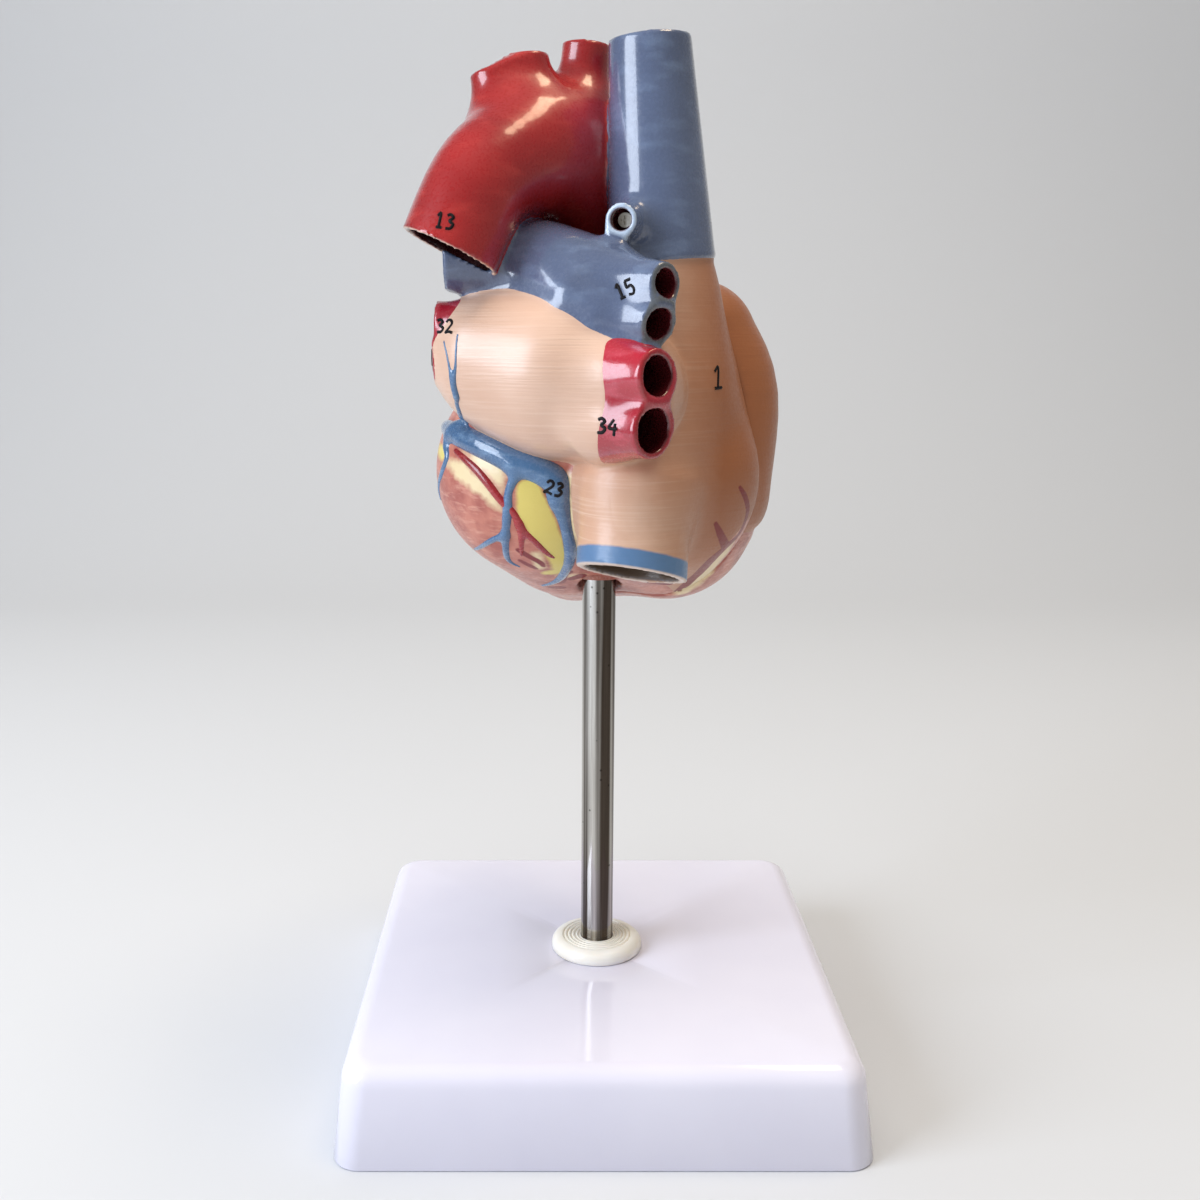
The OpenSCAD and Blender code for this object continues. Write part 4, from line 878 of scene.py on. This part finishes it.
# painted shade: dark red inside the azygos stump's bore
mark(cava_piece, "bore", read_at(np.maximum(stump_bore, plane(azygos_end, -azygos_way)), points) - 0.3)

# ---------------------------------------------------------------------------
# Inferior vena cava: a beige stub with level brush ridges and a blue band
# painted round its slanted mouth; painted shade browns its right side.
# ---------------------------------------------------------------------------
points, faces = skin_points(cut(own_part("lower_cava"), ivc_bore), step, grid_low)
band_width = 4.8
flesh_cava = hand_paint("pvc_painted_lower_cava", "#d9b298", "#cfa184", "#e2c1a8", (26, 26, 0.6), ridge=0.24,
                        gloss=(0.34, 0.48), coat=0.35, varnish=0.24,
                        marks=(("tan", "#a0623b", shade_fade, 1.5), ("band", "#597ca3", 0.3, 0.25),
                               ("lip", "#d8c3b4", 0.2, 0.0), ("bore", "#54402f", 0.3, 0.0)))
lower_cava_piece = heart_piece("inferior_vena_cava_stub", points, faces, flesh_cava, "heart",
                               ["inferior_vena_cava"])
from_mouth = -((points - np.array(ivc_mouth)) @ unit(ivc_mouth_way))
# painted shade: tan to the right of the line
mark(lower_cava_piece, "tan", shade_line - points @ to_row[0])
mark(lower_cava_piece, "band", from_mouth - band_width)
mark(lower_cava_piece, "lip", from_mouth - 0.45)
# painted shade: dark brown inside the bore
mark(lower_cava_piece, "bore", read_at(ivc_bore, points) - 0.3)

# ---------------------------------------------------------------------------
# Pulmonary veins: pairs of short stumps on each side of the left atrium, in
# bright red enamel, with near-black red painted inside the bores as shade.
# ---------------------------------------------------------------------------
vein_red = hand_paint("pvc_painted_vein_red", "#b52638", "#9f1c2d", "#c94a5a", (7, 7, 2.5), ridge=0.05,
                      gloss=(0.2, 0.3), coat=1.0, varnish=0.1,
                      marks=(("face", "#9a1f28", 0.3, 0.1), ("bore", "#4a1216", 0.25, 0.0)))
stump_pieces = []
for name, form, bores, ends, run, node in (
        ("right_vein_stumps", "right_veins", right_bores, right_vein_ends, right_vein_run, "right_pulmonary_veins"),
        ("left_vein_stumps", "left_veins", left_bores, left_vein_ends, left_vein_run, "left_pulmonary_veins")):
    points, faces = skin_points(cut(own_part(form), bores), step, grid_low)
    stumps = heart_piece(name, points, faces, vein_red, "heart", [node])
    stump_pieces.append(stumps)
    way = unit(run)
    mark(stumps, "face", np.min([np.abs((points - np.array(end)) @ way) for end in ends], axis=0) - 0.35)
    # painted shade: near-black red inside the bores
    mark(stumps, "bore", read_at(bores, points) - 0.3)

# ---------------------------------------------------------------------------
# Coronary vessels on the back: ridges raised in the casting, the sinus and
# cardiac veins picked out in blue and the arteries in red with a fine brush.
# ---------------------------------------------------------------------------
sinus_strings = [[[-39.8, -15, 41.8, 1.8], [-32.8, -23.6, 41.3, 2.9], [-28.5, -25, 40, 3.4],
                  [-21.5, -29, 38.6, 3.7], [-15, -31.3, 36.8, 3.8], [-9.5, -32.5, 34.8, 3.9], [-3.2, -31.8, 33, 4],
                  [0.8, -30.4, 30, 4.2], [1.2, -29.2, 25.8, 3.9], [1.7, -27.7, 21.9, 2.9], [1.5, -25, 17, 2.3],
                  [-0.3, -20, 11, 2.1], [-3, -15.6, 6.4, 1.9], [-7, -11, 1.3, 1.5], [-10.8, -8.5, -1.3, 1],
                  [-15, -6, -3, 0.6]],
                 [[-9.8, -33.8, 33.5, 2.2], [-9.6, -34.2, 31, 1.6], [-11.2, -33, 27.6, 1.3],
                  [-12, -32.3, 22.8, 1.6], [-13.7, -30, 16.5, 1.3], [-16, -25.9, 9.7, 1.15],
                  [-16.2, -23.5, 7.4, 0.9], [-14.5, -21.7, 5.3, 0.5]],
                 [[-14, -30.3, 15.8, 1.1], [-19.5, -29, 13, 1], [-28.2, -21.6, 9, 0.6]],
                 [[-30, -24, 39.5, 2], [-31.7, -24.5, 37.2, 1.7], [-32.2, -28.6, 34.7, 1.3],
                  [-35.2, -26.9, 30, 1.1], [-37.2, -24.6, 27.5, 0.9], [-40, -20, 22, 0.6]],
                 [[-28.8, -25, 41.5, 2], [-26.9, -28, 44.6, 1.3], [-22.4, -37.3, 48.3, 1],
                  [-20.9, -40.9, 51.6, 0.85], [-20.1, -42.8, 53.4, 0.75], [-19.7, -43.9, 56.2, 0.6],
                  [-18.8, -45.3, 60, 0.5], [-18.7, -45.3, 63.7, 0.45], [-18.8, -45.1, 67.1, 0.4]],
                 [[-20.3, -42.6, 53.2, 0.6], [-20.7, -44.3, 56.6, 0.55], [-20.9, -45.4, 59.2, 0.5],
                  [-21.6, -45.4, 62.4, 0.45], [-23, -44.3, 65.6, 0.4]]]
artery_strings = [[[-28.6, -30.1, 36.8, 0.9], [-25.1, -31.3, 35.2, 1.2], [-20.7, -32.9, 32.7, 1.4],
                   [-17, -33.1, 29.5, 1.5], [-13.6, -32.4, 25.5, 1.4], [-10.6, -31.3, 22.2, 1.3],
                   [-9.6, -31, 19.1, 1.3], [-9.5, -30.3, 15.2, 1.1], [-11.5, -26.3, 9.3, 0.6]],
                  [[-9.4, -31, 19, 1.2], [-8.8, -30.6, 17.4, 1.1], [-6.3, -28.3, 13.5, 1.1], [-5, -23.4, 10.7, 0.9],
                   [-3.6, -22.3, 8.5, 0.45]]]


def fine_skin(strings, pitch, soft, limit=None):
    """Skin of some strings, on a finer grid of their own."""
    beads = np.concatenate([np.array(s) for s in strings])
    low = (beads[:, :3] - beads[:, 3:]).min(0) - 2
    high = (beads[:, :3] + beads[:, 3:]).max(0) + 2
    places = np.stack(np.meshgrid(*[np.arange(low[k], high[k], pitch, dtype=np.float32) for k in range(3)],
                                  indexing="ij"), -1)
    field, margin = None, 4
    for each in strings:
        one = np.full(places.shape[:3], 8.0, np.float32)
        for a, b in zip(each, each[1:]):
            from_place = np.minimum(np.array(a[:3]) - a[3], np.array(b[:3]) - b[3]) - margin
            to_place = np.maximum(np.array(a[:3]) + a[3], np.array(b[:3]) + b[3]) + margin
            start = np.clip(((from_place - low) / pitch).astype(int), 0, None)
            end = ((to_place - low) / pitch).astype(int) + 2
            room = tuple(slice(p, q) for p, q in zip(start, end))
            one[room] = np.minimum(one[room], tapered(places[room], a, b))
        field = one if field is None else melt(field, one, soft=soft)
    if limit is not None:
        field = np.maximum(field, limit(places))
    return skin_points(field, pitch, low)


points, faces = fine_skin([pulled_to_skin(s, 0.5, body_skin) for s in sinus_strings], 0.4, 1.8)
sinus_blue = hand_paint("pvc_painted_sinus_blue", "#4c729a", "#3f6186", "#7898b8", (5, 5, 1.6), ridge=0.05,
                        gloss=(0.2, 0.32), coat=1.0, varnish=0.1)
sinus_piece = heart_piece("sinus_and_cardiac_veins", points, faces, sinus_blue, "heart", ["coronary_sinus"])
points, faces = fine_skin([pulled_to_skin(s, 0.55, body_skin) for s in artery_strings], 0.4, 1.2)
artery_paint = hand_paint("pvc_painted_coronary_red", "#a4222a", "#8c1a21", "#c0504c", (4, 4, 1.5), ridge=0.05,
                          gloss=(0.2, 0.34), coat=0.6)
heart_piece("back_coronary_branches", points, faces, artery_paint, "heart", ["back_coronary_arteries"])

# ---------------------------------------------------------------------------
# Valves and inner muscles: small mouldings glued in the openings between the
# chambers, cream leaflets and rings, with muscle-coloured cones and cords.
# ---------------------------------------------------------------------------
# PVC, moulded thin: cream and slightly see-through at the edges
leaflet_cream, mm_place = new_material("pvc_cream_leaflet")
veil = add(leaflet_cream, "TexNoise", {"Scale": 0.5, "Detail": 3.0}, {"Vector": mm_place})
milky = add(leaflet_cream, "ValToRGB", {"stops": [(0.3, linear("#e9dcbc")), (0.7, linear("#f4ecd6"))]},
            {"Fac": veil})
fold = add(leaflet_cream, "Bump", {"Strength": 0.3, "Distance": 0.15 * MM}, {"Height": veil})
film = add(leaflet_cream, "BsdfPrincipled", {"IOR": 1.53, "Roughness": 0.35, "Subsurface Weight": 0.2,
           "Subsurface Radius": (0.002, 0.0015, 0.001)}, {"Base Color": milky, "Normal": fold})
add(leaflet_cream, "OutputMaterial", None, {"Surface": film})
for node in ("mitral_valve", "tricuspid_valve", "aortic_valve", "pulmonary_valve"):
    dress(node, leaflet_cream, 0.15)
papillaries = (([-32, -4, 24, 5], [-26, 1, 31, 2.2], ([-21.5, -3, 42], [-20.5, 1, 42])),
               ([-19, 3, 19, 4.5], [-21, 4, 29, 2.2], ([-19, 0, 42], [-18, -1, 43])),
               ([25, 3, 13, 4], [22, 3, 20, 1.8], ([22, 1, 29], [19, 2, 29])))
cords = [[foot, tip] for foot, tip, _ in papillaries]
cords += [[[*tip[:3], 0.9], [*end, 0.5]] for _, tip, ends in papillaries for end in ends]
points, faces = fine_skin(cords, 0.5, 1.5, lambda p: read_at(chambers, p.reshape(-1, 3)).reshape(p.shape[:3]) - 0.6)
papillary_piece = heart_piece("papillary_muscles_and_cords", points, faces, muscle, "heart", ["papillary_muscles"])
for layer in ("cream", "fat", "line", "lining"):
    mark(papillary_piece, layer, bare)
boss_paint = hand_paint("pvc_painted_socket_boss", "#b0705e", "#9a5648", "#c88f7c", (6, 6, 1.6), coat=0.2)
dress("socket_boss", boss_paint, 0.2)

# ---------------------------------------------------------------------------
# Front wall: the other half of the ventricles, cast separately so that it
# pulls off its pins. Salmon muscle with yellow fat painted along the grooves.
# ---------------------------------------------------------------------------
outflow_cone = [[10, 21, 26, 24], [-8, 29, 42, 15], [-18, 13, 37, 18]]
atrium_front = [[20, 21, 65, 17], [23.4, 22, 49, 20], [21, 18, 24, 22]]
groove_lean, groove_at = math.radians(34.4), 39.3
front_skin = melt(ventricles, string(outflow_cone), soft=7.0)
front_skin = melt(front_skin, string(drawn(atrium_front)), soft=2.0)
groove = (spots[..., 0] * math.cos(groove_lean) + spots[..., 2] * math.sin(groove_lean)) - groove_at
way_off = np.minimum.accumulate(np.minimum(np.maximum(string(drawn(aorta_path[:3])), foot_plane - 0.3),
                                           np.maximum(string(drawn(trunk_path[:3])), foot_plane - 0.3))[:, ::-1],
                                axis=1)[:, ::-1] - 0.35
front_side = seam_front - spots[..., 1]
groove_dip = 0.8 * np.exp(-(groove / 2.2) ** 2)
front_half = cut(trimmed(front_skin + groove_dip, front_side), chambers, way_off, *pin_seats, *magnet_seats)
points, faces = skin_points(tucked(front_half, groove), step, grid_low)
front_artery_paths = (((-19, 40), (-20, 32), (-21, 20), (-23, 6), (-25, -8)), ((-20, 32), (-29, 22), (-33, 12)),
                      ((-1, 58), (8, 51), (18, 40), (26, 30), (34, 17)))
front_vein_paths = (((-23, 38), (-25, 28), (-27, 16), (-29, 4)), ((12, 22), (4, 14), (-6, 6), (-14, -4)))


def on_front(path, thick, thin, sunk=0.3):
    """A string of swellings that lies on the front of the heart, from a path of (x, z)."""
    route = np.array(drawn([[x, 0, z, 0] for x, z in path], 6))
    beads = []
    for i, (x, _, z, _) in enumerate(route):
        column = sampled(front_skin,
                         np.stack([np.full(len(axes[1]), (x - grid_low[0]) / step),
                                   np.arange(len(axes[1]), dtype=float),
                                   np.full(len(axes[1]), (z - grid_low[2]) / step)], 1))
        inner = np.flatnonzero(column < 0)
        if len(inner):
            radius = thick + (thin - thick) * i / (len(route) - 1)
            beads.append([x, float(axes[1][inner[-1]]) + step / 2 - sunk * radius, z, radius])
    return beads


front_artery_strings = [on_front(path, 1.6, 0.8) for path in front_artery_paths]
front_vein_strings = [on_front(path, 1.5, 0.8) for path in front_vein_paths]
front_muscle = heart_piece("front_muscle", points, faces, muscle, "front", ["front_wall"])
fat_beads = [[[x, y, z, 4.5] for x, y, z, _ in s] for s in (front_artery_strings[0], front_artery_strings[2])]
mark(front_muscle, "fat", to_string(points, fat_beads))
mark(front_muscle, "cream", to_string(points, cream_fat_and_painted_highlight[4:5]) - 0.6)
mark(front_muscle, "line", to_string(points, red_lines) - line_swell)
mark(front_muscle, "lining", read_at(chambers, points) - 0.4)

# ---------------------------------------------------------------------------
# Right auricle: the front of the right atrium, cast with the front wall and
# painted in the atrium's beige down to the groove, all of it browned by painted shade.
# ---------------------------------------------------------------------------
points, faces = skin_points(tucked(front_half, -groove), step, grid_low)
right_auricle_piece = heart_piece("right_auricle_wall", points, faces, flesh_upright, "front", ["right_auricle"])
mark(right_auricle_piece, "line", to_string(points, red_lines) - line_swell)
mark(right_auricle_piece, "bore", bare)
# painted shade over the whole piece
mark(right_auricle_piece, "tan", -2 * shade_fade)
# painted shade: a dark brown line along the seam edge, where the gap between the halves falls in shade
mark(right_auricle_piece, "seam", points[:, 1] - seam_front - 0.1)

# ---------------------------------------------------------------------------
# Coronary vessels on the front: ridges in the casting, picked out in red and
# blue down the groove between the ventricles and round the right side.
# ---------------------------------------------------------------------------
points, faces = fine_skin(front_artery_strings, 0.5, 1.2)
heart_piece("front_coronary_branches", points, faces, artery_paint, "front", ["front_coronary_arteries"])
points, faces = fine_skin(front_vein_strings, 0.5, 1.2)
heart_piece("front_cardiac_veins", points, faces, sinus_blue, "front", ["front_coronary_veins"])

# ---------------------------------------------------------------------------
# Key numbers: written on the varnish with a fine pen, as plain figures that
# the teacher's list refers to. The pen leaves a thin raised line of ink.
# ---------------------------------------------------------------------------
ink_width = 0.95
figures = {
    "1": (((0.2, 0.78), (0.45, 1.0), (0.42, 0.0)), ((0.2, 0.0), (0.7, 0.02))),
    "2": (((0.1, 0.8), (0.3, 1.0), (0.6, 0.95), (0.7, 0.7), (0.4, 0.35), (0.05, 0.0), (0.4, 0.08), (0.8, 0.0)),),
    "3": (((0.1, 0.9), (0.4, 1.0), (0.65, 0.8), (0.35, 0.55), (0.7, 0.35), (0.5, 0.05), (0.1, 0.0)),),
    "4": (((0.45, 1.0), (0.05, 0.4), (0.75, 0.4)), ((0.55, 0.75), (0.5, -0.1))),
    "5": (((0.2, 1.0), (0.15, 0.55), (0.5, 0.6), (0.65, 0.3), (0.45, 0.0), (0.1, 0.05)), ((0.2, 1.0), (0.7, 1.0))),
}
# each number: its figures, the left end of its foot as (x, z) seen from the back, height and slope in degrees
numbers = (("13", (-41.4, 233.7), 3.4, -9), ("32", (-42.4, 209.0), 3.1, -2), ("15", (2.6, 216.6), 3.4, 24),
           ("34", (-2.6, 185.6), 3.5, -3), ("23", (-15.5, 168.6), 3.4, -15), ("1", (27.2, 195.0), 5.2, 0))
# pen ink: near-black, drying dull over the gloss
pen_ink, mm_place = new_material("pen_ink_black")
pool = add(pen_ink, "TexNoise", {"Scale": 2.0, "Detail": 2.0}, {"Vector": mm_place})
black = add(pen_ink, "ValToRGB", {"stops": [(0.3, linear("#0a080a")), (0.75, linear("#1a171b"))]}, {"Fac": pool})
ink = add(pen_ink, "BsdfPrincipled", {"IOR": 1.3, "Roughness": 0.55}, {"Base Color": black})
add(pen_ink, "OutputMaterial", None, {"Surface": ink})
written_on = [BVHTree.FromObject(piece, bpy.context.evaluated_depsgraph_get())
              for piece in (aorta_piece, left_atrium_piece, stump_pieces[0], stump_pieces[1], pulmonary_piece,
                            sinus_piece, back_muscle, right_atrium_piece)]
for text, (x, z), height, slope in numbers:
    pen = bpy.data.curves.new("ink_" + text, "CURVE")
    pen.dimensions, pen.bevel_depth, pen.bevel_resolution = "3D", ink_width / 2 * MM, 1
    c, s = math.cos(math.radians(slope)), math.sin(math.radians(slope))
    for place_in_row, figure in enumerate(text):
        for stroke in figures[figure]:
            landed = []
            for u, v, _, _ in drawn([[*point, 0, 0] for point in stroke], 4):
                across, up = (u + 0.95 * place_in_row) * height * 0.8, v * height
                start = Vector(((x + across * c - up * s) * MM, -0.2, (z + across * s + up * c) * MM))
                hits = [tree.ray_cast(start, Vector((0, 1, 0))) for tree in written_on]
                spot, normal, _, _ = min((hit for hit in hits if hit[0] is not None), key=lambda hit: hit[3])
                landed.append(spot - normal * 0.2 * ink_width * MM)
            line = pen.splines.new("POLY")
            line.points.add(len(landed) - 1)
            for point, at in zip(line.points, landed):
                point.co = (*at, 1)
    pen.materials.append(pen_ink)
    inked = bpy.data.objects.new("ink_" + text, pen)
    bpy.context.scene.collection.objects.link(inked)
    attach(inked, "heart")

# ---------------------------------------------------------------------------
# Where it stands: a pale seamless sweep under plain soft light, seen from the
# photograph's own place in front of the heart's back.
# ---------------------------------------------------------------------------
floor_half, wall_at, bend = 1.6, 1.1, 0.5
profile = [(-floor_half, 0.0), (wall_at - bend, 0.0)]
profile += [(wall_at - bend + bend * math.sin(math.pi / 2 * i / 16), bend - bend * math.cos(math.pi / 2 * i / 16))
            for i in range(1, 17)]
profile += [(wall_at, 2.4)]
floor_points = [(x / MM, y / MM, z / MM) for y, z in profile for x in (-2.2, 2.2)]
floor_faces = [(2 * i, 2 * i + 1, 2 * i + 3, 2 * i + 2) for i in range(len(profile) - 1)]
# paper: matt and pale grey
paper, _ = new_material("paper_pale_grey")
sheet = add(paper, "BsdfPrincipled", {"Base Color": linear("#cfd1d4"), "Roughness": 0.9})
add(paper, "OutputMaterial", None, {"Surface": sheet})
sweep = mesh_piece("paper_sweep", floor_points, floor_faces, paper)

world = bpy.data.worlds.new("soft_room")
bpy.context.scene.world = world
world.use_nodes = True
world.node_tree.nodes["Background"].inputs["Color"].default_value = linear("#fffdfa")
world.node_tree.nodes["Background"].inputs["Strength"].default_value = 0.24


def softbox(name, at, aim, size, watts, tint, seen_in_gloss=True):
    lamp = bpy.data.lights.new(name, "AREA")
    lamp.shape, lamp.size, lamp.size_y, lamp.energy = "RECTANGLE", size[0], size[1], watts
    lamp.color = linear(tint)[:3]
    box = bpy.data.objects.new(name, lamp)
    box.location = at
    box.rotation_euler = (Vector(aim) - Vector(at)).to_track_quat("-Z", "Y").to_euler()
    box.visible_glossy = seen_in_gloss
    bpy.context.scene.collection.objects.link(box)


softbox("window", (-0.93, -0.49, 0.54), (0, 0, 0.2), (0.62, 0.8), 12.5, "#e6f0ff")
softbox("room", (0.5, -1.1, 0.7), (0, 0, 0.15), (0.9, 0.9), 1.0, "#fff2e4", seen_in_gloss=False)
softbox("overhead", (-0.1, -0.1, 1.4), (0, 0, 0.1), (1.2, 1.2), 13.5, "#fffdf8", seen_in_gloss=False)
softbox("ceiling", (0.38, 0.05, 1.3), (0, 0, 0.1), (0.6, 0.25), 4.0, "#ffe3bd")

camera = bpy.data.cameras.new("photo_camera")
camera.sensor_width, camera.lens, camera.shift_x = 36.0, 38.7, 0.0364
eye = bpy.data.objects.new("photo_camera", camera)
eye.location = (-0.0122, -0.36, 0.2117)
eye.rotation_euler = (math.radians(77.8), 0, 0)
bpy.context.scene.collection.objects.link(eye)
bpy.context.scene.camera = eye
bpy.context.scene.view_settings.view_transform = "Standard"
